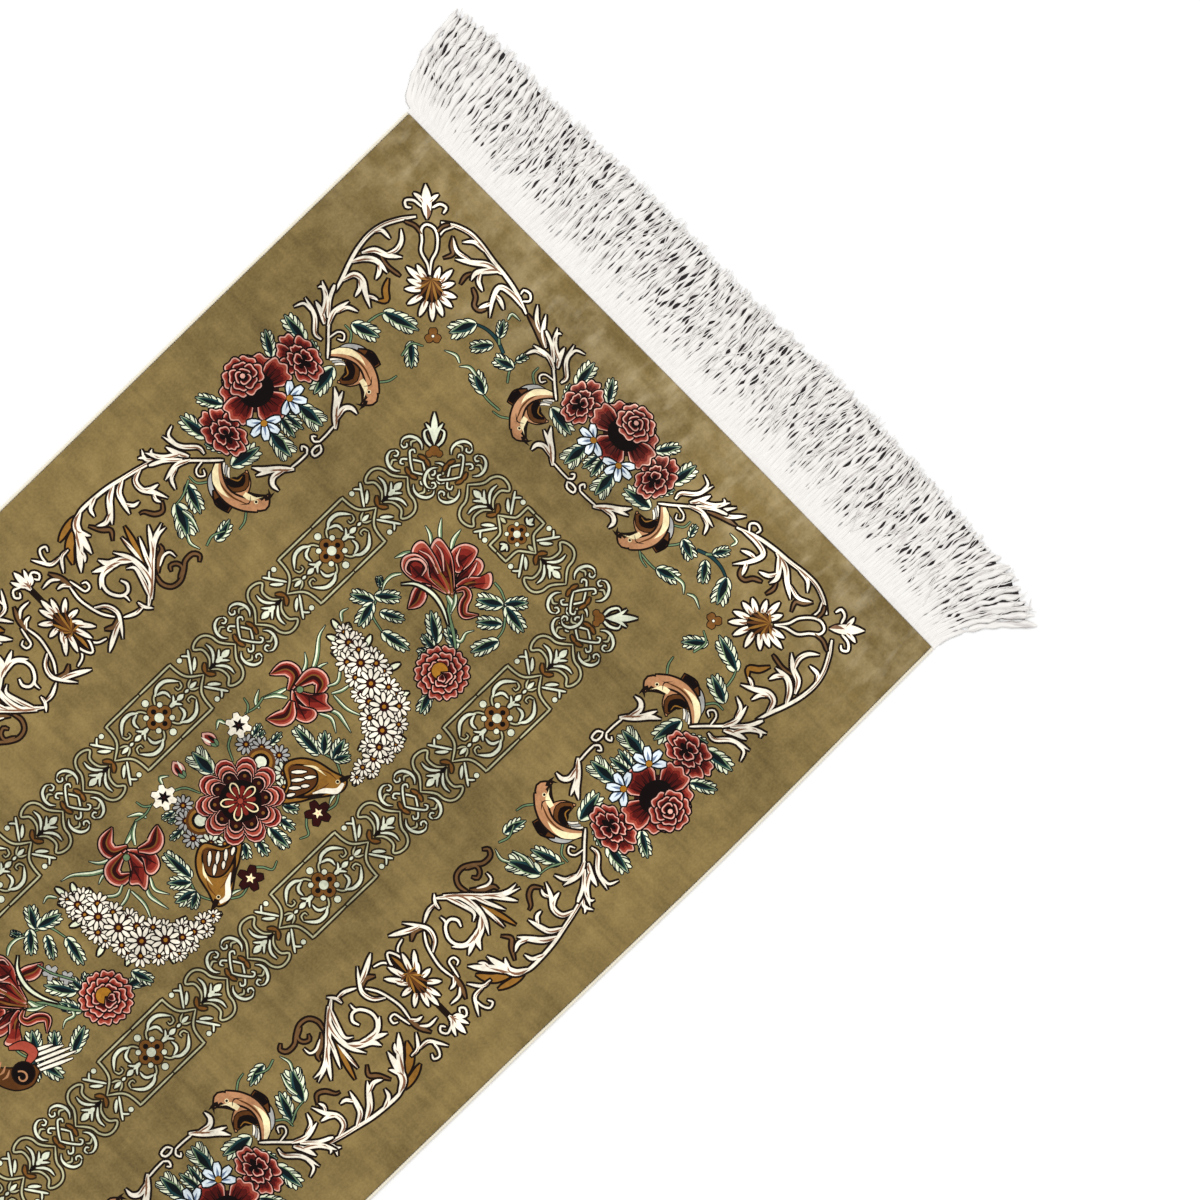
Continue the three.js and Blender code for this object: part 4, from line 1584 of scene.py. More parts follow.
@dataclass
class PatternCutter:
    """Cuts the pile's top into triangles along the visible edges of the pattern.

    Attributes:
        outline: The top's outline, in mm.
        slack: How far an edge may move when points on it are dropped, mm.
        nearness: Points closer than this are one, mm.
        rounds: Times that points are dropped, at most.
    """

    outline: Points
    slack: float = 0.05
    nearness: float = 1e-4
    rounds: int = 5

    def cut(self, drawing: Drawing, patch: Patch) -> Skin:
        """Makes the coloured top of one patch.

        Args:
            drawing: The pattern in its place.
            patch: The part of the rug to cut.

        Returns:
            The top, which ends at the patch's sides and at the outline.
        """
        yarns = list(Yarn)
        low, high = np.array(patch.low) - 1, np.array(patch.high) + 1
        shapes = [(shape, yarns.index(yarn)) for shape, yarn in drawing.shapes
                  if (shape.max(0) > low).all() and (shape.min(0) < high).all()]
        rings = [self.outline, *[shape for shape, _ in shapes]]
        counts = np.array([len(ring) for ring in rings])
        starts = np.concatenate([[0], np.cumsum(counts)[:-1]])
        points = np.vstack(rings)
        after = np.arange(len(points)) + 1
        after[starts + counts - 1] = starts
        ends = points[after]
        near = ((np.maximum(points, ends) > low) & (np.minimum(points, ends) < high)).all(1)
        edges = np.stack([np.flatnonzero(near), after[near]], 1)
        points, edges = self._with_cuts(points, edges, patch)
        skin = self._coloured(points, edges, shapes, patch)
        before = len(skin.faces)
        points, edges = self._thinned(skin)
        skin = self._coloured(points, edges, shapes, patch)
        LOG.info("pattern: %d shapes, %d triangles, thinned from %d", len(shapes),
                 len(skin.faces), before)
        return skin

    def _with_cuts(self, points: Points, edges: np.ndarray,
                   patch: Patch) -> tuple[Points, np.ndarray]:
        """Adds the patch's sides, and leaves out points that no edge uses."""
        (x0, y0), (x1, y1) = self.outline.min(0) - 2, self.outline.max(0) + 2
        x0, y0 = max(x0, patch.low[0] - 2), max(y0, patch.low[1] - 2)
        x1, y1 = min(x1, patch.high[0] + 2), min(y1, patch.high[1] + 2)
        ends = [((x, y0), (x, y1)) for x in (patch.low[0], patch.high[0]) if x0 < x < x1]
        ends += [((x0, y), (x1, y)) for y in (patch.low[1], patch.high[1]) if y0 < y < y1]
        more = np.array(ends, float).reshape(-1, 2)
        pairs = np.arange(len(more)).reshape(-1, 2) + len(points)
        points, edges = np.vstack([points, more]), np.vstack([edges, pairs])
        used, edges = np.unique(edges, return_inverse=True)
        return points[used], edges.reshape(-1, 2)

    def _coloured(self, points: Points, edges: np.ndarray, shapes: list[tuple[Points, int]],
                  patch: Patch) -> Skin:
        """Triangulates between edges and colours each triangle by the topmost shape."""
        made = delaunay_2d_cdt([Vector(p) for p in points.tolist()], edges.tolist(), [], 0,
                               self.nearness, False)
        corners = np.array([tuple(v) for v in made[0]])
        faces = np.array(made[2])
        centres = corners[faces].mean(1)
        inside = patch.holds(centres, 1e-7)
        inside[inside] = self._painted([(self.outline, 1)], centres[inside]) == 1
        faces, centres = faces[inside], centres[inside]
        used, faces = np.unique(faces, return_inverse=True)
        corners, faces = corners[used], faces.reshape(-1, 3)
        a, b, c = (corners[faces[:, k]] for k in range(3))
        area = (b - a)[:, 0] * (c - a)[:, 1] - (b - a)[:, 1] * (c - a)[:, 0]
        if area.sum() < 0:
            faces = faces[:, ::-1]
        return Skin(corners, faces, self._painted(shapes, centres))

    @staticmethod
    def _painted(shapes: list[tuple[Points, int]], centres: Points) -> np.ndarray:
        """Number of the topmost shape's yarn over each point, 0 where there is none."""
        order = np.argsort(centres[:, 1])
        xs, ys = centres[order].T
        top = np.zeros(len(centres), int)
        for shape, number in shapes:
            low, high = shape.min(0), shape.max(0)
            first, last = np.searchsorted(ys, (low[1], high[1]))
            near = first + np.flatnonzero((xs[first:last] > low[0]) & (xs[first:last] < high[0]))
            if not len(near):
                continue
            x, y = xs[near], ys[near]
            ax, ay = shape.T[..., None]
            bx, by = np.roll(shape, -1, 0).T[..., None]
            side = (bx - ax) * (y - ay) - (x - ax) * (by - ay)
            rising = (ay <= y) & (by > y) & (side > 0)
            falling = (ay > y) & (by <= y) & (side < 0)
            over = rising.sum(0) != falling.sum(0)
            top[order[near[over]]] = number
        return top

    def _thinned(self, skin: Skin) -> tuple[Points, np.ndarray]:
        """Keeps the edges between colours, and drops points that hardly bend them.

        Args:
            skin: The coloured triangles.

        Returns:
            The points and edges to triangulate again.
        """
        sides = np.sort(skin.faces[:, [[0, 1], [1, 2], [2, 0]]].reshape(-1, 2), 1)
        yarns = np.repeat(skin.yarns, 3)
        key = sides[:, 0] * len(skin.points) + sides[:, 1]
        order = np.argsort(key, kind="stable")
        key, sides, yarns = key[order], sides[order], yarns[order]
        paired = np.concatenate([key[1:] == key[:-1], [False]])
        second = np.concatenate([[False], paired[:-1]])
        differs = np.zeros(len(key), bool)
        differs[:-1] = paired[:-1] & (yarns[1:] != yarns[:-1])
        kept = sides[differs | (~paired & ~second)]
        return self._relaxed(skin.points, kept)

    def _relaxed(self, points: Points, edges: np.ndarray) -> tuple[Points, np.ndarray]:
        """Joins nearly straight pairs of edges, no two neighbours in one round."""
        error = np.zeros(len(edges))
        for _ in range(self.rounds):
            ends = edges.ravel()
            degree = np.bincount(ends, minlength=len(points))
            order = np.argsort(ends, kind="stable")
            first = np.concatenate([[0], np.cumsum(degree)])[:-1]
            bends = np.flatnonzero(degree == 2)
            one, two = order[first[bends]], order[first[bends] + 1]
            before, after = edges[one // 2, 1 - one % 2], edges[two // 2, 1 - two % 2]
            a, b, p = points[before], points[after], points[bends]
            along_line = b - a
            length = np.maximum(np.hypot(*along_line.T), NOTHING)
            away = np.abs(along_line[:, 0] * (p - a)[:, 1] - along_line[:, 1] * (p - a)[:, 0])
            away = away / length + error[one // 2] + error[two // 2]
            inside = np.einsum("ij,ij->i", p - a, along_line) * np.einsum(
                "ij,ij->i", b - p, along_line) > 0
            can = (away < self.slack) & inside & (before != after)
            cost = np.full(len(points), np.inf)
            cost[bends[can]] = away[can] + 1e-7 * (bends[can] % 97)
            chosen = can & (cost[bends] < cost[before]) & (cost[bends] <= cost[after])
            chosen &= ~((cost[bends] == cost[after]) & (bends > after))
            if not chosen.any():
                break
            made = np.stack([before[chosen], after[chosen]], 1)
            gone = np.zeros(len(edges), bool)
            gone[one[chosen] // 2] = True
            gone[two[chosen] // 2] = True
            edges = np.vstack([edges[~gone], made])
            error = np.concatenate([error[~gone], away[chosen]])
        used, edges = np.unique(edges, return_inverse=True)
        return points[used], edges.reshape(-1, 2)


def linear(colour: Sequence[float]) -> tuple[float, ...]:
    """An sRGB colour as Blender's linear one, opaque."""
    r, g, b = (c / 12.92 if c <= 0.04045 else ((c + 0.055) / 1.055) ** 2.4 for c in colour)
    return (r, g, b, 1.0)


def placed(name: str, data: bpy.types.ID) -> bpy.types.Object:
    """A new object, linked to the scene."""
    made = bpy.data.objects.new(name, data)
    bpy.context.scene.collection.objects.link(made)
    return made


def on_map(shares: Points) -> Points:
    """Shares of a map's width or height, drawn in a little from its rim."""
    return MAP_MARGIN + (1 - 2 * MAP_MARGIN) * shares


@dataclass
class MeshDraft:
    """Corners, faces and what each face carries, before they become a mesh.

    Attributes:
        corners: Points in mm.
        faces: Corner numbers of each face, counter-clockwise from outside.
        colours: Linear colour of each face.
        places: Where each face's corners lie on the piece's own map, from 0 to 1.
    """

    corners: list[Triple] = field(default_factory=list)
    faces: list[tuple[int, ...]] = field(default_factory=list)
    colours: list[tuple[float, ...]] = field(default_factory=list)
    places: list[list[Spot]] = field(default_factory=list)

    def made(self, name: str, material: bpy.types.Material) -> bpy.types.Object:
        """Makes the piece, flat shaded, with its colours and its map if it has them.

        Args:
            name: Name of the piece.
            material: Its finish.

        Returns:
            The piece, linked to the scene.
        """
        mesh = bpy.data.meshes.new(name)
        mesh.from_pydata([tuple(c * MM for c in corner) for corner in self.corners], [], self.faces)
        counts = [len(face) for face in self.faces]
        if self.colours:
            layer = mesh.color_attributes.new("Yarn", "FLOAT_COLOR", "CORNER")
            layer.data.foreach_set("color", np.repeat(np.array(self.colours), counts, 0).ravel())
        if self.places:
            uv = mesh.uv_layers.new(name="OFBake")
            uv.data.foreach_set("uv", np.array([p for face in self.places for p in face]).ravel())
        mesh.materials.append(material)
        mesh.polygons.foreach_set("use_smooth", [False] * len(mesh.polygons))
        mesh.update()
        return placed(name, mesh)


@dataclass
class Pile:
    """The woven body with its pattern, in pieces small enough for a fine finish.

    Attributes:
        plan: Outline and thickness.
        columns: Pieces across the rug.
        rows: Pieces along it.
        map_strip: Share of a piece's map that its edges and underside take.
        nearby: How far a corner of the top may lie from the top's outline, mm.
    """

    plan: RugPlan
    columns: int = 2
    rows: int = 5
    map_strip: float = 0.06
    nearby: float = 0.06

    def patches(self) -> dict[str, Patch]:
        """Every piece's name and place, from the far left; the outer ones have no outer side."""
        xs, ys = ([-FAR_OFF, *[size * (k / count - 0.5) for k in range(1, count)], FAR_OFF]
                  for size, count in ((self.plan.width, self.columns),
                                      (self.plan.length, self.rows)))
        return {f"pile_{row + 1}_{column + 1}": Patch((xs[column], ys[row]),
                                                      (xs[column + 1], ys[row + 1]))
                for row in range(self.rows) for column in range(self.columns)}

    def build(self, material: bpy.types.Material) -> list[bpy.types.Object]:
        """Cuts the pattern and makes the pieces.

        Args:
            material: The silk pile's finish.

        Returns:
            The pieces.
        """
        plan = self.plan
        drawing = RugDesign().drawing().mapped(plan.settle)
        cutter = PatternCutter(plan.outline(plan.rounding))
        made = []
        for name, patch in self.patches().items():
            draft = self._draft(cutter.cut(drawing, patch), patch)
            made.append(draft.made(name, material))
            LOG.info("%s: %d faces", name, len(draft.faces))
        return made

    def _outward(self, points: Points, rim: Sequence[int], cuts: np.ndarray) -> dict[int, Spot]:
        """Where the corners on the top's outline go when they move out to the pile's side.

        Args:
            points: The top's corners.
            rim: Those on its edge.
            cuts: For each corner, a bit for every side of the patch that it lies on.

        Returns:
            The new place of each corner that lies on the rug's own outline.
        """
        outline = self.plan.outline(self.plan.rounding)
        outer = self.plan.outline(0.0)
        follow = np.roll(outline, -1, 0) - outline
        length2 = np.einsum("ij,ij->i", follow, follow)
        found = {}
        for corner in rim:
            p = points[corner]
            share = np.clip(np.einsum("ij,ij->i", p - outline, follow) / length2, 0, 1)
            away = np.hypot(*(outline + share[:, None] * follow - p).T)
            k = int(np.argmin(away))
            if away[k] > self.nearby:
                continue
            out = outer[k] + share[k] * (np.roll(outer, -1, 0)[k] - outer[k])
            x = p[0] if cuts[corner] & 3 else out[0]
            y = p[1] if cuts[corner] & 12 else out[1]
            found[corner] = (float(x), float(y))
        return found

    @staticmethod
    def _rim(faces: np.ndarray) -> np.ndarray:
        """Edges that only one triangle has, in that triangle's direction."""
        sides = faces[:, [[0, 1], [1, 2], [2, 0]]].reshape(-1, 2)
        most = int(faces.max()) + 1
        key = np.sort(sides, 1) @ np.array([most, 1])
        _, index, counts = np.unique(key, return_index=True, return_counts=True)
        return sides[index[counts == 1]]

    @staticmethod
    def _loops(rim: np.ndarray) -> list[list[int]]:
        """The closed loops that edges make, each corner once in a loop."""
        follow: dict[int, list[int]] = {}
        for a, b in rim.tolist():
            follow.setdefault(a, []).append(b)
        loops = []
        for start in list(follow):
            path = [start]
            while follow.get(path[-1]):
                corner = follow[path[-1]].pop()
                if corner in path:
                    at = path.index(corner)
                    if len(path) - at > 2:
                        loops.append(path[at:])
                    path = path[: at + 1]
                else:
                    path.append(corner)
        return loops

    def _draft(self, skin: Skin, patch: Patch) -> MeshDraft:
        """One piece's top, rounded edge, cut walls and underside.

        Args:
            skin: The piece's top.
            patch: Its place on the rug.

        Returns:
            The draft.
        """
        points, faces, plan = skin.points, skin.faces, self.plan
        palette = np.array([linear(yarn.value) for yarn in Yarn])
        low, high = points.min(0) - 1, points.max(0) + 1
        top_places = (points - low) / (high - low)
        foot = self.map_strip + 2 * MAP_MARGIN
        top_places[:, 0] = on_map(top_places[:, 0])
        top_places[:, 1] = foot + top_places[:, 1] * (1 - MAP_MARGIN - foot)
        draft = MeshDraft(
            [(x, y, plan.thickness) for x, y in points.tolist()],
            [tuple(face) for face in faces.tolist()],
            [tuple(c) for c in palette[skin.yarns]], top_places[faces].tolist(),
        )
        middles: dict[int, int] = {}
        bottoms: dict[int, int] = {}
        rim = self._rim(faces)
        cuts = patch.on_cut(points)
        edge = sorted(set(rim.ravel().tolist()))
        offsets = self._outward(points, edge, cuts)
        for corner in edge:
            out = offsets.get(corner)
            x, y = out or points[corner].tolist()
            if out:
                middles[corner] = len(draft.corners)
                draft.corners.append((x, y, plan.thickness - plan.rounding))
            bottoms[corner] = len(draft.corners)
            draft.corners.append((x, y, 0.0))
        ground = linear(Yarn.GROUND.value)

        def add(face: list[int]) -> None:
            """Adds a face of the edge or underside, mapped below the top's own map."""
            draft.faces.append(tuple(face))
            draft.colours.append((*ground[:3], 0.0))
            spots = np.array([draft.corners[k] for k in face])
            flat = (spots[:, :2] - low) / (high - low)
            flat[:, 0] = on_map(flat[:, 0])
            flat[:, 1] = (0.05 + 0.9 * flat[:, 1]) * self.map_strip
            if np.ptp(spots[:, 2]) > 0.01:
                flat[:, 1] += 0.05 * self.map_strip * spots[:, 2] / plan.thickness
            draft.places.append(flat.tolist())

        for a, b in rim.tolist():
            if a in middles and b in middles and not cuts[a] & cuts[b]:
                add([a, middles[a], middles[b], b])
                add([middles[a], bottoms[a], bottoms[b], middles[b]])
            else:
                down, up = ([middles[k]] if k in middles else [] for k in (a, b))
                add([a, *down, bottoms[a], bottoms[b], *up, b])
        for loop in self._loops(rim):
            add([bottoms[corner] for corner in reversed(loop)])
        return draft


class Nodes:
    """Adds nodes to a tree and joins them, with their values given by socket name."""

    def __init__(self, tree: bpy.types.NodeTree) -> None:
        """Keeps the tree."""
        self.tree = tree

    def add(self, kind: str, settings: dict[str, object] | None = None,
            **inputs: object) -> bpy.types.Node:
        """Adds one node.

        Args:
            kind: The node's type.
            settings: Values of its own properties.
            **inputs: A value, or an output socket to join, for each input. Underscores stand
                for spaces, and in1 is the second input.

        Returns:
            The node.
        """
        node = self.tree.nodes.new(kind)
        for name, value in (settings or {}).items():
            setattr(node, name, value)
        return self.feed(node, **inputs)

    def feed(self, node: bpy.types.Node, **inputs: object) -> bpy.types.Node:
        """Gives a node its inputs, named as add() takes them, and returns the node."""
        for name, value in inputs.items():
            socket = (node.inputs[int(name[2:])] if name[:2] == "in" and name[2:].isdigit()
                      else node.inputs[name.replace("_", " ")])
            if isinstance(value, bpy.types.NodeSocket):
                self.tree.links.new(value, socket)
            else:
                socket.default_value = value
        return node

    def math(self, operation: str, *values: object) -> bpy.types.NodeSocket:
        """Result of a Math node."""
        inputs = {f"in{k}": value for k, value in enumerate(values)}
        return self.add("ShaderNodeMath", {"operation": operation}, **inputs).outputs[0]

    def spread(self, value: bpy.types.NodeSocket, low: float, high: float, to_low: float = 0.0,
               to_high: float = 1.0) -> bpy.types.NodeSocket:
        """A value's range, mapped smoothly to another and held at its ends."""
        node = self.add("ShaderNodeMapRange", {"interpolation_type": "SMOOTHSTEP"}, in0=value,
                        in1=low, in2=high, in3=to_low, in4=to_high)
        return node.outputs[0]

    def scaled(self, value: object, factor: object) -> bpy.types.NodeSocket:
        """A value times a factor."""
        return self.math("MULTIPLY", value, factor)

    def vector(self, operation: str, **inputs: object) -> bpy.types.NodeSocket:
        """Result of a Vector Math node."""
        return self.add("ShaderNodeVectorMath", {"operation": operation}, **inputs).outputs[0]

    def stretched(self, place: bpy.types.NodeSocket, across: object, along_rug: object,
                  level: bool = True) -> bpy.types.NodeSocket:
        """A place with its X and Y scaled, and with its height only if it isn't level."""
        cut = self.add("ShaderNodeSeparateXYZ", Vector=place)
        return self.add("ShaderNodeCombineXYZ", in0=self.scaled(cut.outputs[0], across),
                        in1=self.scaled(cut.outputs[1], along_rug),
                        in2=0.0 if level else cut.outputs[2]).outputs[0]

    def noise(self, place: bpy.types.NodeSocket, detail: float, roughness: float,
              scale: float = 1.0) -> bpy.types.NodeSocket:
        """Noise with a number of features to each unit of its place."""
        return self.add("ShaderNodeTexNoise", Vector=place, Scale=scale, Detail=detail,
                        Roughness=roughness).outputs["Fac"]

    def mixed(self, share: object, first: object, second: object) -> bpy.types.NodeSocket:
        """Two colours mixed."""
        node = self.add("ShaderNodeMix", {"data_type": "RGBA"}, in0=share, in6=first, in7=second)
        return node.outputs[2]


def shader_group(name: str, inputs: Sequence[tuple[str, float]],
                 outputs: Sequence[str]) -> tuple[bpy.types.NodeTree, Nodes, bpy.types.Node]:
    """Starts a shader node group.

    Args:
        name: The group's name.
        inputs: Name and usual value of each number it takes; it also takes a place.
        outputs: Names of the values it puts out.

    Returns:
        The group, its nodes and its input node.
    """
    tree = bpy.data.node_groups.new(name, "ShaderNodeTree")
    tree.interface.new_socket("Place", in_out="INPUT", socket_type="NodeSocketVector")
    for label, value in inputs:
        socket = tree.interface.new_socket(label, in_out="INPUT", socket_type="NodeSocketFloat")
        socket.default_value = value
    for label in outputs:
        tree.interface.new_socket(label, in_out="OUTPUT", socket_type="NodeSocketFloat")
    return tree, Nodes(tree), tree.nodes.new("NodeGroupInput")


@dataclass(frozen=True)
class Thread:
    """Fine fibre lines along Y: a brightness of lines and a height for the bump."""

    name: str = "ThreadLines"

    def group(self) -> bpy.types.NodeTree:
        """The node group, built once."""
        if self.name in bpy.data.node_groups:
            return bpy.data.node_groups[self.name]
        tree, nodes, given = shader_group(
            self.name, (("Lines Across", 900.0), ("Lines Along", 60.0)), ("Lines", "Height"))
        place, across, along_thread = given.outputs[:3]
        noise = nodes.noise(nodes.stretched(place, across, along_thread, False), 2.0, 0.6)
        nodes.add("NodeGroupOutput", Lines=nodes.spread(noise, 0.3, 0.7), Height=noise)
        return tree


@dataclass(frozen=True)
class Nap:
    """How silk's nap takes the light: broad clouds, brushed patches and rows of knots."""

    name: str = "SilkNap"

    def group(self) -> bpy.types.NodeTree:
        """The node group, built once."""
        if self.name in bpy.data.node_groups:
            return bpy.data.node_groups[self.name]
        tree, nodes, given = shader_group(
            self.name, (("Clouds", 4.0), ("Patches", 42.0), ("Rows", 300.0)),
            ("Cloud", "Patch", "Row", "Knot", "Grain", "Stroke"))

        def uneven(features: str, across: float, along_rug: float,
                   detail: float) -> bpy.types.NodeSocket:
            """Noise with multiples of an input's features to each metre across and along."""
            count = given.outputs[features]
            place = nodes.stretched(given.outputs["Place"], nodes.scaled(count, across),
                                    nodes.scaled(count, along_rug))
            return nodes.noise(place, detail, 0.55)

        nodes.add(
            "NodeGroupOutput",
            Cloud=nodes.spread(uneven("Clouds", 1.0, 1.0, 1.0), 0.32, 0.68),
            Patch=nodes.spread(uneven("Patches", 1.0, 0.8, 4.0), 0.36, 0.7),
            Row=nodes.spread(uneven("Rows", 0.035, 0.4, 3.0), 0.3, 0.7),
            Knot=uneven("Rows", 4.0, 4.0, 1.0),
            Grain=nodes.spread(uneven("Rows", 1.3, 1.0, 2.0), 0.3, 0.7),
            Stroke=nodes.spread(uneven("Patches", 1.6, 0.45, 3.0), 0.5, 0.75),
        )
        return tree


def new_material(name: str) -> tuple[bpy.types.Material, Nodes, bpy.types.Node]:
    """Starts a material.

    Args:
        name: Its name.

    Returns:
        The material, its nodes and its Principled shader.
    """
    material = bpy.data.materials.new(name)
    material.use_nodes = True
    nodes = Nodes(material.node_tree)
    shader = next(n for n in material.node_tree.nodes if n.type == "BSDF_PRINCIPLED")
    return material, nodes, shader


@dataclass(frozen=True)
class SilkPile:
    """The cut silk: dyed knots, brushed nap and a soft sheen.

    Attributes:
        roughness: Roughness of the nap.
        sheen: Strength of the sheen.
        painted_sheen: Strength of the painted sheen, pale highlights added to the colour in brushed
            patches, most of all beside the rug's ends.
        ends: Distances from the rug's middle between which a painted highlight grows in towards its
            ends, m.
        tint: Colour of the light on the nap.
    """

    roughness: float = 0.62
    sheen: float = 0.04
    painted_sheen: float = 0.9
    ends: Range = (1.03, 1.2)
    tint: Triple = (1.0, 0.93, 0.72)

    def material(self) -> bpy.types.Material:
        """The finish of the pile."""
        material, nodes, shader = new_material("silk_pile")
        place = nodes.add("ShaderNodeTexCoord").outputs["Object"]
        dyed = nodes.add("ShaderNodeAttribute", {"attribute_name": "Yarn"})
        nap = nodes.add("ShaderNodeGroup", {"node_tree": Nap().group()}, Place=place, Clouds=5.0,
                        Patches=40.0, Rows=320.0).outputs
        cut = nodes.add("ShaderNodeSeparateXYZ", Vector=place)
        # Painted light and shade: the nap's noises vary the dye's brightness as painted sheen, with
        # some random tone, and the ends are painted a little lighter.
        end = nodes.spread(nodes.math("ABSOLUTE", cut.outputs[1]), *self.ends)
        bright = nodes.math("ADD", nodes.scaled(end, 0.05), 0.50)
        for name, size in (("Cloud", 0.30), ("Patch", 0.27), ("Row", 0.17), ("Knot", 0.10),
                           ("Grain", 0.20)):
            bright = nodes.math("ADD", bright, nodes.scaled(nap[name], size))
        body = nodes.vector("SCALE", Vector=dyed.outputs["Color"], Scale=bright)
        # Painted sheen: pale highlights in the tint's colour, added to the dye in brushed patches
        # and strokes and strongest beside the ends.
        lit = nodes.scaled(nodes.scaled(nap["Patch"], nodes.math("ADD", 0.1, end)), 0.6)
        lit = nodes.math("ADD", lit, nodes.scaled(nap["Stroke"], nodes.scaled(end, 0.7)))
        lit = nodes.scaled(nodes.scaled(lit, dyed.outputs["Fac"]), self.painted_sheen)
        shine = nodes.vector("SCALE", Vector=self.tint, Scale=lit)
        bump = nodes.add("ShaderNodeBump", Height=nap["Knot"], Strength=0.25, Distance=0.0004)
        nodes.feed(
            shader, Base_Color=nodes.vector("ADD", in0=body, in1=shine),
            Roughness=nodes.math("ADD", self.roughness - 0.08, nodes.scaled(nap["Patch"], 0.16)),
            Normal=bump.outputs[0], Sheen_Weight=self.sheen, Sheen_Roughness=0.4,
            Sheen_Tint=(1.0, 0.93, 0.78, 1.0), Specular_IOR_Level=0.08,
        )
        return material


@dataclass(frozen=True)
class SpunSilk:
    """Undyed silk thread, plied and laid side by side.

    Attributes:
        name: Name of the finish.
        bright: sRGB colour of the thread's crown.
        painted_gap_shade: sRGB colour of the painted shade between its plies and between strands
            where they part.
        shaded: sRGB colour painted on threads that lie under others, a painted shade that stands for
            the shadow in the fringe's slits.
        across: Lines to a metre across the thread.
        along_thread: Changes to a metre along it.
        height: Height of the plies, m.
        strands: Strands to a metre, between which painted shade shows as they part towards the
            fringe's rim.
        parting: Distances from the rug's middle between which the painted shade between strands
            grows in, m.
    """

    name: str
    bright: Triple
    painted_gap_shade: Triple
    shaded: Triple = (0.12, 0.085, 0.095)
    across: float = 1300.0
    along_thread: float = 70.0
    height: float = 0.0003
    strands: float = 330.0
    parting: Range = (1.218, 1.275)

    def material(self) -> bpy.types.Material:
        """The finish of the thread."""
        material, nodes, shader = new_material(self.name)
        spot = nodes.add("ShaderNodeTexCoord").outputs["Object"]
        shift, depth = (nodes.add("ShaderNodeAttribute", {"attribute_name": name}).outputs["Fac"]
                        for name in ("Shift", "Depth"))
        aside = nodes.add("ShaderNodeCombineXYZ", in0=shift)
        place = nodes.vector("SUBTRACT", in0=spot, in1=aside.outputs[0])
        plies, strands = (
            nodes.add("ShaderNodeGroup", {"node_tree": Thread().group()}, Place=place,
                      Lines_Across=across, Lines_Along=along_thread).outputs
            for across, along_thread in ((self.across, self.along_thread),
                                         (self.strands, self.strands / 7)))
        cut = nodes.add("ShaderNodeSeparateXYZ", Vector=spot)
        # Painted shade: the thread darkens towards deep between its plies and, past the parting,
        # where strands part.
        out = nodes.spread(nodes.math("ABSOLUTE", cut.outputs[1]), *self.parting, 0.08, 0.5)
        colour = nodes.mixed(nodes.scaled(plies["Lines"], 0.2), linear(self.bright),
                             linear(self.painted_gap_shade))
        parted = nodes.spread(strands["Height"], 0.5, 0.7)
        colour = nodes.mixed(nodes.scaled(parted, out), colour, linear(self.painted_gap_shade))
        bump = nodes.add("ShaderNodeBump", Height=plies["Height"], Strength=0.5,
                         Distance=self.height)
        # Painted shade: threads that lie under others take the shaded colour as the shadow in the
        # fringe's slits, and loose threads a touch of it.
        nodes.feed(
            shader, Base_Color=nodes.mixed(depth, colour, linear(self.shaded)),
            Roughness=nodes.math("ADD", 0.5, nodes.scaled(plies["Lines"], 0.25)),
            Normal=bump.outputs[0], Sheen_Weight=0.1, Specular_IOR_Level=0.3,
        )
        return material


class GeometryTree:
    """A Geometry Nodes tree with named inputs, and the mesh that it makes."""

    def __init__(self, name: str, inputs: Sequence[tuple[str, str, object]]) -> None:
        """Starts the tree.

        Args:
            name: Name of the tree.
            inputs: Name, socket type and value of each input beside the geometry.
        """
        self.tree = bpy.data.node_groups.new(name, "GeometryNodeTree")
        face = self.tree.interface
        face.new_socket("Geometry", in_out="INPUT", socket_type="NodeSocketGeometry")
        self.values: dict[str, object] = {}
        for label, kind, value in inputs:
            socket = face.new_socket(label, in_out="INPUT", socket_type=f"NodeSocket{kind}")
            self.values[socket.identifier] = value
        face.new_socket("Geometry", in_out="OUTPUT", socket_type="NodeSocketGeometry")
        self.nodes = Nodes(self.tree)
        self.given = self.tree.nodes.new("NodeGroupInput").outputs

    def close(self, geometry: bpy.types.NodeSocket, material: bpy.types.Material) -> None:
        """Ends the tree with realized, finished geometry."""
        real = self.nodes.add("GeometryNodeRealizeInstances", Geometry=geometry)
        dressed = self.nodes.add("GeometryNodeSetMaterial", Geometry=real.outputs[0],
                                 Material=material)
        self.nodes.add("NodeGroupOutput", Geometry=dressed.outputs[0])

    def run(self, name: str, guide: bpy.types.Mesh) -> bpy.types.Object:
        """Grows a piece from a guide mesh.

        Args:
            name: Name of the piece.
            guide: The mesh that the tree starts from.

        Returns:
            The piece as a plain mesh, linked to the scene.
        """
        seed = placed(f"{name}_guide", guide)
        modifier = seed.modifiers.new("grown", "NODES")
        modifier.node_group = self.tree
        for identifier, value in self.values.items():
            modifier[identifier] = value
        bpy.context.view_layer.update()
        graph = bpy.context.evaluated_depsgraph_get()
        mesh = bpy.data.meshes.new_from_object(seed.evaluated_get(graph), depsgraph=graph)
        mesh.name = name
        bpy.data.objects.remove(seed)
        bpy.data.meshes.remove(guide)
        return mapped_flat(placed(name, mesh))


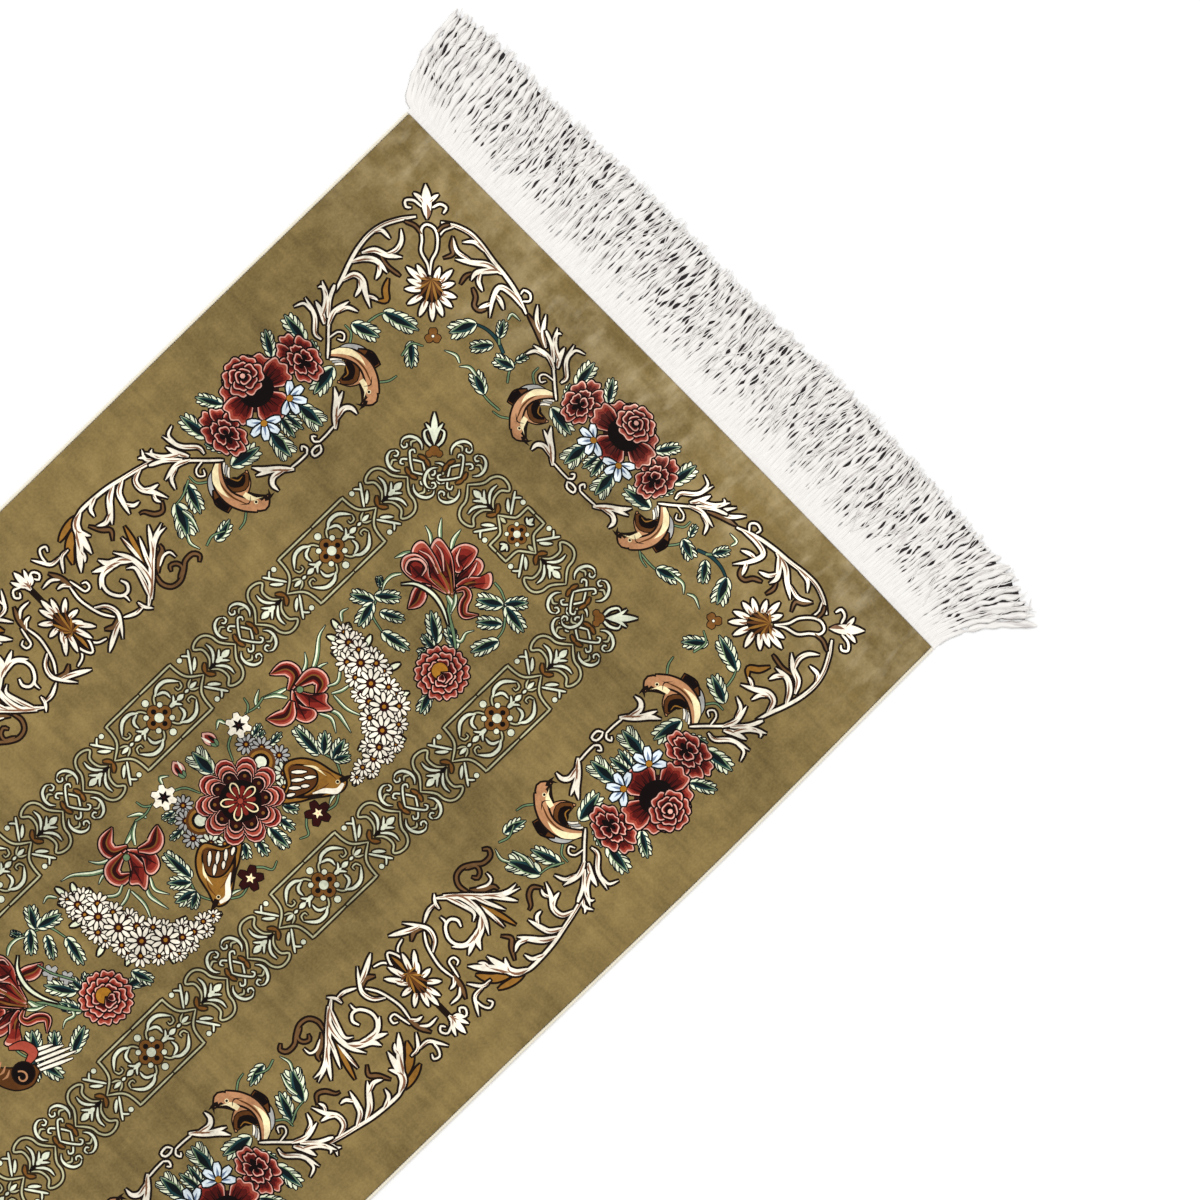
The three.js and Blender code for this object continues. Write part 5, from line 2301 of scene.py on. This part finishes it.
def mapped_flat(piece: bpy.types.Object) -> bpy.types.Object:
    """Gives a finished piece its own map, its plan filling the square, and returns it."""
    mesh = piece.data
    spots = np.empty(len(mesh.vertices) * 3)
    mesh.vertices.foreach_get("co", spots)
    flat = spots.reshape(-1, 3)[:, :2]
    low, high = flat.min(0), flat.max(0)
    corners = np.empty(len(mesh.loops), int)
    mesh.loops.foreach_get("vertex_index", corners)
    for layer in [layer for layer in mesh.uv_layers if layer.name != "OFBake"]:
        mesh.uv_layers.remove(layer)
    uv = mesh.uv_layers.get("OFBake") or mesh.uv_layers.new(name="OFBake")
    uv.data.foreach_set("uv", on_map((flat - low) / (high - low))[corners].ravel())
    LOG.info("%s: %d faces", piece.name, len(mesh.polygons))
    return piece


@dataclass
class Selvedge:
    """The cord whipped along one long side.

    Attributes:
        plan: The pile's outline.
        side: -1 for the left side, 1 for the right.
        width: Width of the whipped cord, mm.
        height: Its height, mm.
        gap: Its distance from the pile, mm.
        pitch: Spacing of the turns of thread, mm.
        slant: How far each turn leans, degrees.
        overlap: Length of a turn of thread as a share of the pitch.
        short: How far the cord stops before the pile's ends, mm.
        lengths: Pieces that it is made in.
    """

    plan: RugPlan
    side: int
    width: float = 3.4
    height: float = 3.2
    gap: float = 0.3
    pitch: float = 2.5
    slant: float = 24.0
    overlap: float = 1.7
    short: float = 1.3
    lengths: int = 5

    def tree(self, material: bpy.types.Material) -> GeometryTree:
        """The tree that winds the thread round a path."""
        slant = math.radians(self.slant * self.side)
        made = GeometryTree("SelvedgeWinding", (
            ("Width", "Float", self.width * MM), ("Height", "Float", self.height * MM),
            ("Pitch", "Float", self.pitch * MM), ("Slant", "Float", slant)))
        nodes, given = made.nodes, made.given
        path = nodes.add("GeometryNodeMeshToCurve", in0=given["Geometry"])
        points = nodes.add("GeometryNodeCurveToPoints", {"mode": "LENGTH"}, Curve=path.outputs[0],
                           Length=given["Pitch"])
        turn = nodes.add("GeometryNodeMeshUVSphere", Segments=8, Rings=5, Radius=0.5)
        size = nodes.add("ShaderNodeCombineXYZ", in0=given["Width"],
                         in1=nodes.scaled(given["Pitch"], self.overlap), in2=given["Height"])
        lean = nodes.add("ShaderNodeCombineXYZ", in2=given["Slant"])
        wound = nodes.add("GeometryNodeInstanceOnPoints", Points=points.outputs[0],
                          Instance=turn.outputs[0], Scale=size.outputs[0],
                          Rotation=lean.outputs[0])
        smooth = nodes.add("GeometryNodeSetShadeSmooth", in0=wound.outputs[0])
        made.close(smooth.outputs[0], material)
        return made

    def build(self, material: bpy.types.Material) -> list[bpy.types.Object]:
        """Winds every length of the cord.

        Args:
            material: The cream silk.

        Returns:
            The pieces.
        """
        tree = self.tree(material)
        offset = self.side * (self.gap + self.width / 2)
        half = self.plan.length / 2
        stops = np.linspace(self.short - half, half - self.short, self.lengths + 1)
        word = "left" if self.side < 0 else "right"
        made = []
        for number, (start, stop) in enumerate(zip(stops, stops[1:])):
            count = max(2, round((stop - start) / self.pitch))
            first = start + self.pitch / 2 * (number == 0)
            y = np.linspace(first, stop - self.pitch / 2, count)
            x = self.plan.side(self.side, y / half) + offset
            guide = bpy.data.meshes.new("guide")
            spots = [(a * MM, b * MM, self.height / 2 * MM) for a, b in zip(x, y)]
            guide.from_pydata(spots, [(k, k + 1) for k in range(count - 1)], [])
            made.append(tree.run(f"selvedge_{word}_{number + 1}", guide))
        return made


@dataclass
class EndStrip:
    """The plain-woven strip past the pile's end, in two halves.

    Attributes:
        plan: The pile's outline.
        width: How far it reaches, mm.
        height: Its thickness, mm.
        gap: Its distance from the pile, mm.
        cord: Width of a selvedge with its gap, which it also spans, mm.
        steps: Steps along a half.
        section: Shares of the width and height at the corners of its cross-section.
    """

    plan: RugPlan
    width: float = 10.0
    height: float = 1.6
    gap: float = 0.3
    cord: float = 3.7
    steps: int = 40
    section: tuple[Spot, ...] = ((0.0, 0.0), (0.0, 0.75), (0.06, 1.0), (0.35, 0.85), (0.65, 1.0),
                                 (0.94, 0.85), (1.0, 0.6), (1.0, 0.0))

    def edge_point(self, across: Points) -> Points:
        """Points of the near end with the selvedges included, before the strip."""
        return self.plan.end_line(1, across, -self.cord) + (0, self.gap - self.cord)

    def build(self, material: bpy.types.Material, far: bool) -> list[bpy.types.Object]:
        """Makes both halves.

        Args:
            material: The white silk.
            far: Whether it is the far end's, which is the near one's turned half round.

        Returns:
            The pieces.
        """
        end, turn = ("far", -1) if far else ("near", 1)
        ring = len(self.section)
        made = []
        for word, start, stop in (("left", -1.0, 0.0), ("right", 0.0, 1.0)):
            edge = self.edge_point(np.linspace(start, stop, self.steps + 1))
            draft = MeshDraft([(x * turn, (y + out * self.width) * turn, up * self.height)
                               for x, y in edge.tolist() for out, up in self.section])
            for first in range(0, self.steps * ring, ring):
                for s in range(ring):
                    a, b = first + s, first + (s + 1) % ring
                    draft.faces.append((a, b, b + ring, a + ring))
            draft.faces.append(tuple(reversed(range(ring))))
            draft.faces.append(tuple(range(self.steps * ring, len(edge) * ring)))
            piece = draft.made(f"end_strip_{end}_{word}", material)
            outward(piece.data)
            made.append(mapped_flat(piece))
        return made


def outward(mesh: bpy.types.Mesh) -> None:
    """Turns a closed mesh's faces outwards."""
    work = bmesh.new()
    work.from_mesh(mesh)
    bmesh.ops.recalc_face_normals(work, faces=work.faces)
    work.to_mesh(mesh)
    work.free()


@dataclass
class Fringe:
    """The netted fringe of one end, in two halves.

    Its cords lie side by side and part in slits, past which dark threads under them show:
    a painted shade that stands for the shadow in the slits. A few loose threads lie across.

    Attributes:
        plan: The pile's outline.
        strip: The strip that it grows out of.
        stations: Shares of half the width at which reach and lean are given.
        reach: How far the fringe reaches past the strip there, mm.
        lean: How far its tips lean sideways there, mm.
        curl: How late it leans there: 1 for a straight cord, more for one that bends outwards.
        cords: Cords side by side.
        steps: Steps along a cord.
        height: Height of a cord, mm.
        netting: How far neighbouring cords swing together and apart, mm.
        drift: How far a cord may wander sideways, mm.
        ragged: How much longer or shorter a cord may be, as a share of its reach.
        bare: Share of the fringe from the strip that has no slits.
        slit_length: Least and most length of a slit, as shares of a cord's.
        slit_width: Least and most width of a slit at the rim, mm.
        loose: Loose threads that lie across.
        wisps: Short thread ends that stand past the rim.
        rooted: How far the cords start inside the strip, mm.
        sway: How far they swing sideways together, mm.
        seed: Seed of all that is uneven about it.
    """

    plan: RugPlan
    strip: EndStrip
    stations: tuple[float, ...] = (-1.0, -0.94, -0.86, -0.7, -0.35, 0.0, 0.35, 0.7, 0.86, 0.94,
                                   1.0)
    reach: tuple[float, ...] = (97, 105, 106, 104, 108, 106, 110, 106, 102, 97, 80)
    lean: tuple[float, ...] = (-44, -32, -16, -4, 2, 3, 1, 5, 19, 38, 56)
    curl: tuple[float, ...] = (0.45, 0.6, 0.85, 1.1, 1.15, 1.15, 1.15, 1.2, 1.3, 1.4, 1.5)
    cords: int = 190
    steps: int = 38
    height: float = 1.7
    netting: float = 0.75
    drift: float = 1.4
    ragged: float = 0.025
    bare: float = 0.06
    slit_length: Range = (0.05, 0.15)
    slit_width: Range = (0.6, 3.9)
    loose: int = 240
    wisps: int = 190
    rooted: float = 3.0
    sway: float = 3.2
    seed: int = 5

    def tree(self, material: bpy.types.Material) -> GeometryTree:
        """The tree that turns guide lines into cords."""
        made = GeometryTree("FringeCords", (("Sides", "Int", 6), ("Height", "Float", 1.0),
                                            ("Fray", "Float", 0.00025), ("Seed", "Float", 3.0)))
        nodes, given = made.nodes, made.given
        path = nodes.add("GeometryNodeMeshToCurve", in0=given["Geometry"])

        def named(label: str) -> bpy.types.NodeSocket:
            """A number that the guide line carries."""
            return nodes.add("GeometryNodeInputNamedAttribute", {"data_type": "FLOAT"},
                             Name=label).outputs["Attribute"]

        spot = nodes.add("GeometryNodeInputPosition")
        fray = nodes.add("ShaderNodeTexNoise", {"noise_dimensions": "4D"}, Vector=spot.outputs[0],
                         W=given["Seed"], Scale=260.0, Detail=1.0)
        centred = nodes.vector("SUBTRACT", in0=fray.outputs["Color"], in1=(0.5, 0.5, 0.5))
        moved_by = nodes.vector("SCALE", in0=centred, Scale=given["Fray"])
        level = nodes.vector("MULTIPLY", in0=moved_by, in1=(2.0, 2.0, 0.0))
        shifted = nodes.add("GeometryNodeSetPosition", Geometry=path.outputs[0], Offset=level)
        upright = nodes.add("GeometryNodeSetCurveNormal", Curve=shifted.outputs[0])
        set_z_up(upright)
        ring = nodes.add("GeometryNodeCurvePrimitiveCircle", Resolution=given["Sides"], Radius=1.0)
        swept = nodes.add("GeometryNodeCurveToMesh", Curve=upright.outputs[0],
                          Profile_Curve=ring.outputs[0], Scale=named("half"), Fill_Caps=True)
        place = nodes.add("GeometryNodeInputPosition")
        cut = nodes.add("ShaderNodeSeparateXYZ", Vector=place.outputs[0])
        above = nodes.math("DIVIDE", nodes.math("SUBTRACT", cut.outputs[2], named("level")),
                           named("half"))
        rise = nodes.scaled(nodes.scaled(above, named("tall")), given["Height"])
        flat = nodes.add("ShaderNodeCombineXYZ", in0=cut.outputs[0], in1=cut.outputs[1],
                         in2=nodes.math("ADD", named("level"), rise))
        flattened = nodes.add("GeometryNodeSetPosition", Geometry=swept.outputs[0],
                              Position=flat.outputs[0])
        smooth = nodes.add("GeometryNodeSetShadeSmooth", in0=flattened.outputs[0])
        made.close(smooth.outputs[0], material)
        return made

    def _spot(self, across: Points, share: Points) -> Points:
        """Where the fringe lies at shares of half the width and of its own reach."""
        reach, lean, curl = (read_curve(self.stations, table, across)
                             for table in (self.reach, self.lean, self.curl))
        root = self.strip.edge_point(across) + (0, self.strip.width - self.rooted)
        sway = self.sway * share * np.sin(4.2 * share + 9 * across)
        x = root[..., 0] + lean * share**curl + sway
        return np.stack([x, root[..., 1] + (reach + self.rooted) * share], -1)

    def _slits(self, random: np.random.Generator) -> Points:
        """Width of the slit beside each cord at each step, mm."""
        share = np.linspace(0, 1, self.steps + 1)
        slits = np.zeros((self.cords + 1, self.steps + 1))
        least, most = self.slit_width
        for row in slits:
            at = self.bare + 0.16 * random.random()
            while at < 0.98:
                length = random.uniform(*self.slit_length)
                grown_in = min(1.0, (at - self.bare + 0.12) / 0.5)
                if random.random() < 0.35 + 0.5 * grown_in:
                    width = least + (most - least) * random.random() ** 1.7
                    width *= 0.45 + 0.55 * grown_in
                    shape = np.clip(1 - ((share - at - length / 2) / (length / 2)) ** 2, 0, 1)
                    np.maximum(row, width * shape, out=row)
                at += length + random.uniform(0.0, 0.07)
        return slits

    def _cord_guides(self, random: np.random.Generator) -> list[dict[str, Points]]:
        """Guide lines of the cords that lie on top."""
        share = np.linspace(0, 1, self.steps + 1)
        edges = np.linspace(-1, 1, self.cords + 1)
        edges[1:-1] += random.uniform(-0.3, 0.3, self.cords - 1) * 2 / self.cords
        drift = np.cumsum(random.normal(0, 0.16, (self.cords + 1, self.steps + 1)), 1)
        drift *= np.clip(share * 2.5, 0, 1)
        drift -= drift.mean(0)
        phase = math.pi * np.arange(self.cords + 1) + random.normal(0, 0.8, self.cords + 1)
        turns = 2 * math.pi * random.uniform(3.4, 5.6, self.cords + 1)
        netted = np.sin(turns[:, None] * share + phase[:, None]) * np.clip(share * 4 - 0.5, 0, 1)
        lines = self._spot(edges[:, None] * np.ones(len(share)), share * np.ones((len(edges), 1)))
        lines[..., 0] += np.clip(drift, -self.drift, self.drift) + self.netting * netted
        slits = self._slits(random)
        slits[[0, -1]] = 0
        guides = []
        for k in range(self.cords):
            left, right = lines[k].copy(), lines[k + 1].copy()
            left[:, 0] += slits[k] / 2
            right[:, 0] -= slits[k + 1] / 2
            overlap = np.where((slits[k] + slits[k + 1]) > 0.3, 0.05, 0.4)
            overlap += 0.7 * np.clip(1 - 3 * share, 0, 1)
            half = np.maximum((right - left)[:, 0] / 2 + overlap, 0.55)
            cut = random.uniform(1 - self.ragged, 1 + self.ragged)
            middle = (left + right) / 2
            middle[:, 1] = middle[0, 1] + (middle[:, 1] - middle[0, 1]) * cut
            half[-4:] *= (0.92, 0.75, 0.55, 0.25)
            half = half * (1 + 0.08 * np.sin(share * random.uniform(20, 34) + k))
            tall = np.minimum(self.height / 2, 0.45 + half * 0.25)
            tall *= 0.55 + np.clip(share, 0, 0.45)
            guides.append({"spots": middle, "half": half, "tall": tall,
                           "level": 0.45 + tall + 0.15 * (k % 2), "depth": 0 * share,
                           "shift": middle[:, 0] - middle[0, 0]})
        return guides

    def _painted_shade_guides(self) -> list[dict[str, Points]]:
        """Guide lines of the dark threads under the cords, painted as the shade in the slits."""
        count = self.cords // 2
        share = np.linspace(0.2, 0.945, 12)
        guides = []
        for k in range(count):
            across = (-1 + 2 * (k + 0.5) / count) * 0.985
            aside = 0.02 if across < 0 else -0.02
            spots = self._spot(across * np.ones(len(share)), share)
            near = self._spot((across + aside) * np.ones(len(share)), share)
            half = np.abs(near - spots)[:, 0] / (2 * abs(aside)) * (2 / count) * 1.12
            guides.append({"spots": spots, "half": half, "tall": 0.14 + 0 * share,
                           "level": 0.2 + 0.1 * (k % 2) + 0 * share, "depth": 1 + 0 * share,
                           "shift": spots[:, 0] - spots[0, 0]})
        return guides

    def _loose_guides(self, random: np.random.Generator) -> list[dict[str, Points]]:
        """Guide lines of the thin threads that lie across the cords."""
        guides = []
        for number in range(self.loose + self.wisps):
            start, length = random.uniform(0.1, 0.75), random.uniform(0.18, 0.5)
            if number >= self.loose:
                start, length = random.uniform(0.84, 0.95), random.uniform(0.05, 0.10)
            steps = 14 if number < self.loose else 6
            share = np.linspace(start, min(start + length, 1.04), steps)
            across = random.uniform(-0.99, 0.99) + (share - start) * random.normal(0, 0.09)
            across = np.clip(across, -0.99, 0.99)
            spots = self._spot(across, share)
            half = random.uniform(0.28, 0.55) * np.ones(steps)
            half[[0, -1]] *= 0.5
            lift = np.sin(np.linspace(0, math.pi, steps)) * 0.25
            guides.append({"spots": spots, "half": half, "tall": half * 0.8,
                           "level": 2.35 + lift, "depth": 0.04 + 0 * share,
                           "shift": spots[:, 0] - spots[0, 0]})
        return guides

    def build(self, material: bpy.types.Material, far: bool) -> list[bpy.types.Object]:
        """Makes both halves.

        Args:
            material: The white silk.
            far: Whether it is the far end's, turned half round.

        Returns:
            The pieces.
        """
        random = np.random.default_rng(self.seed + (11 if far else 0))
        guides = [*self._cord_guides(random), *self._painted_shade_guides(), *self._loose_guides(random)]
        end, turn = ("far", -1) if far else ("near", 1)
        tree = self.tree(material)
        made = []
        for word, side in (("left", -1), ("right", 1)):
            own = [g for g in guides if (g["spots"][0, 0] < 0) == (side < 0)]
            counts = [len(g["half"]) for g in own]
            spots = np.vstack([g["spots"] for g in own]) * turn
            values = {key: np.concatenate([g[key] for g in own])
                      for key in ("half", "tall", "level", "depth", "shift")}
            values["shift"] *= turn
            starts = np.concatenate([[0], np.cumsum(counts)[:-1]])
            links = [(int(s) + k, int(s) + k + 1) for s, n in zip(starts, counts)
                     for k in range(n - 1)]
            guide = bpy.data.meshes.new("guide")
            guide.from_pydata([(x * MM, y * MM, z * MM) for (x, y), z in
                               zip(spots.tolist(), values["level"].tolist())], links, [])
            for key, value in values.items():
                label = key.capitalize() if key in ("depth", "shift") else key
                layer = guide.attributes.new(label, "FLOAT", "POINT")
                layer.data.foreach_set("value", value * (1 if key == "depth" else MM))
            made.append(tree.run(f"fringe_{end}_{word}", guide))
        return made


def set_z_up(node: bpy.types.Node) -> None:
    """Makes a curve normal node keep its normals level with the floor."""
    if hasattr(node, "mode"):
        node.mode = "Z_UP"
    else:
        node.inputs["Mode"].default_value = "Z Up"


@dataclass(frozen=True)
class Studio:
    """The pale floor, the soft light and the camera straight above the rug's end.

    Attributes:
        centre: Point of the rug in the middle of the view, m.
        view: Width of the view at the rug's top, m.
        turn: How far the camera is turned about its own axis, degrees.
        height: The camera's height over the rug's top, m.
        sensor: Width of its sensor, mm.
        floor_reach: How far the floor reaches from the rug's middle, m.
        floor_level: Height of the floor's top, just under the rug, m.
        surround: Brightness of the white surround.
        light_from: Direction that the soft light comes from.
        light_energy: Its strength.
        light_spread: Its apparent size, degrees.
    """

    centre: Spot = (0.1083, 1.0000)
    view: float = 1.2031
    turn: float = 45.55
    height: float = 6.0
    sensor: float = 36.0
    floor_reach: float = 9.0
    floor_level: float = -0.0003
    surround: float = 0.95
    light_from: Triple = (-1.0, 0.35, 1.5)
    light_energy: float = 0.75
    light_spread: float = 25.0

    def floor(self) -> None:
        """A broad pale floor."""
        material, nodes, shader = new_material("studio_floor")
        place = nodes.add("ShaderNodeTexCoord").outputs["Object"]
        tone = nodes.spread(nodes.noise(place, 2.0, 0.5, 3.0), 0.2, 0.8, 0.90, 0.93)
        grey = nodes.add("ShaderNodeCombineXYZ", in0=tone, in1=tone, in2=tone)
        nodes.feed(shader, Base_Color=grey.outputs[0], Roughness=0.9, Specular_IOR_Level=0.1)
        mesh = bpy.data.meshes.new("floor")
        mesh.from_pydata([(x * self.floor_reach, y * self.floor_reach, self.floor_level)
                          for x, y in ((-1, -1), (1, -1), (1, 1), (-1, 1))], [], [(0, 1, 2, 3)])
        mesh.materials.append(material)
        floor = placed("floor", mesh)

    def light(self) -> None:
        """A white surround and one broad soft light from the rug's left."""
        world = bpy.data.worlds.new("studio")
        world.use_nodes = True
        back = next(n for n in world.node_tree.nodes if n.type == "BACKGROUND")
        back.inputs["Color"].default_value = (1.0, 1.0, 1.0, 1.0)
        back.inputs["Strength"].default_value = self.surround
        bpy.context.scene.world = world
        data = bpy.data.lights.new("soft_light", "SUN")
        data.energy = self.light_energy
        data.angle = math.radians(self.light_spread)
        lamp = placed("soft_light", data)
        lamp.rotation_euler = Vector(self.light_from).to_track_quat("Z", "Y").to_euler()

    def camera(self) -> None:
        """The camera, straight above, and plain colours."""
        data = bpy.data.cameras.new("camera")
        data.sensor_width = self.sensor
        data.lens = self.sensor * self.height / self.view
        camera = placed("camera", data)
        camera.location = (*self.centre, self.height + RugPlan().thickness * MM)
        camera.rotation_euler = (0.0, 0.0, math.radians(self.turn))
        bpy.context.scene.camera = camera
        bpy.context.scene.view_settings.view_transform = "Standard"


@dataclass
class Rug:
    """The whole rug, built and tied to the CAD model."""

    plan: RugPlan = field(default_factory=RugPlan)

    def tie(self, pieces: Iterable[bpy.types.Object], slot: str, *nodes: str) -> None:
        """Lets pieces ride on the rug and stand for CAD nodes."""
        for piece in pieces:
            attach(piece, "root")
            if nodes:
                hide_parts(*nodes)

    def build(self) -> None:
        pile_silk = SilkPile().material()
        cream = SpunSilk("cream_silk", (0.93, 0.90, 0.82), (0.72, 0.68, 0.58)).material()
        white = SpunSilk("white_silk", (0.945, 0.935, 0.92), (0.63, 0.585, 0.575)).material()
        pile = Pile(self.plan)
        sheets = pile.build(pile_silk)
        self.tie(sheets, "silk_pile", "pile")
        left, right = (Selvedge(self.plan, side).build(cream) for side in (-1, 1))
        self.tie(left, "cream_silk", "selvedge_left")
        self.tie(right, "cream_silk", "selvedge_right")
        strip = EndStrip(self.plan)
        ends: dict[bool, list[bpy.types.Object]] = {}
        for far, node in ((False, "fringe_near"), (True, "fringe_far")):
            ends[far] = strip.build(white, far) + Fringe(self.plan, strip).build(white, far)
            self.tie(ends[far], "white_silk", node)
        for number, piece in enumerate(sheets):
            row, column = divmod(number, pile.columns)
            beside = [(left, right)[column][row]]
            if row in (0, pile.rows - 1):
                word = "left" if (column == 0) == (row > 0) else "right"
                beside += [half for half in ends[row == 0] if half.name.endswith(word)]


def main() -> None:
    """Builds the studio and the rug."""
    logging.basicConfig(level=logging.INFO, format="%(message)s")
    studio = Studio()
    studio.floor()
    studio.light()
    studio.camera()
    Rug().build()
    bpy.context.view_layer.update()


if __name__ == "__main__":
    main()
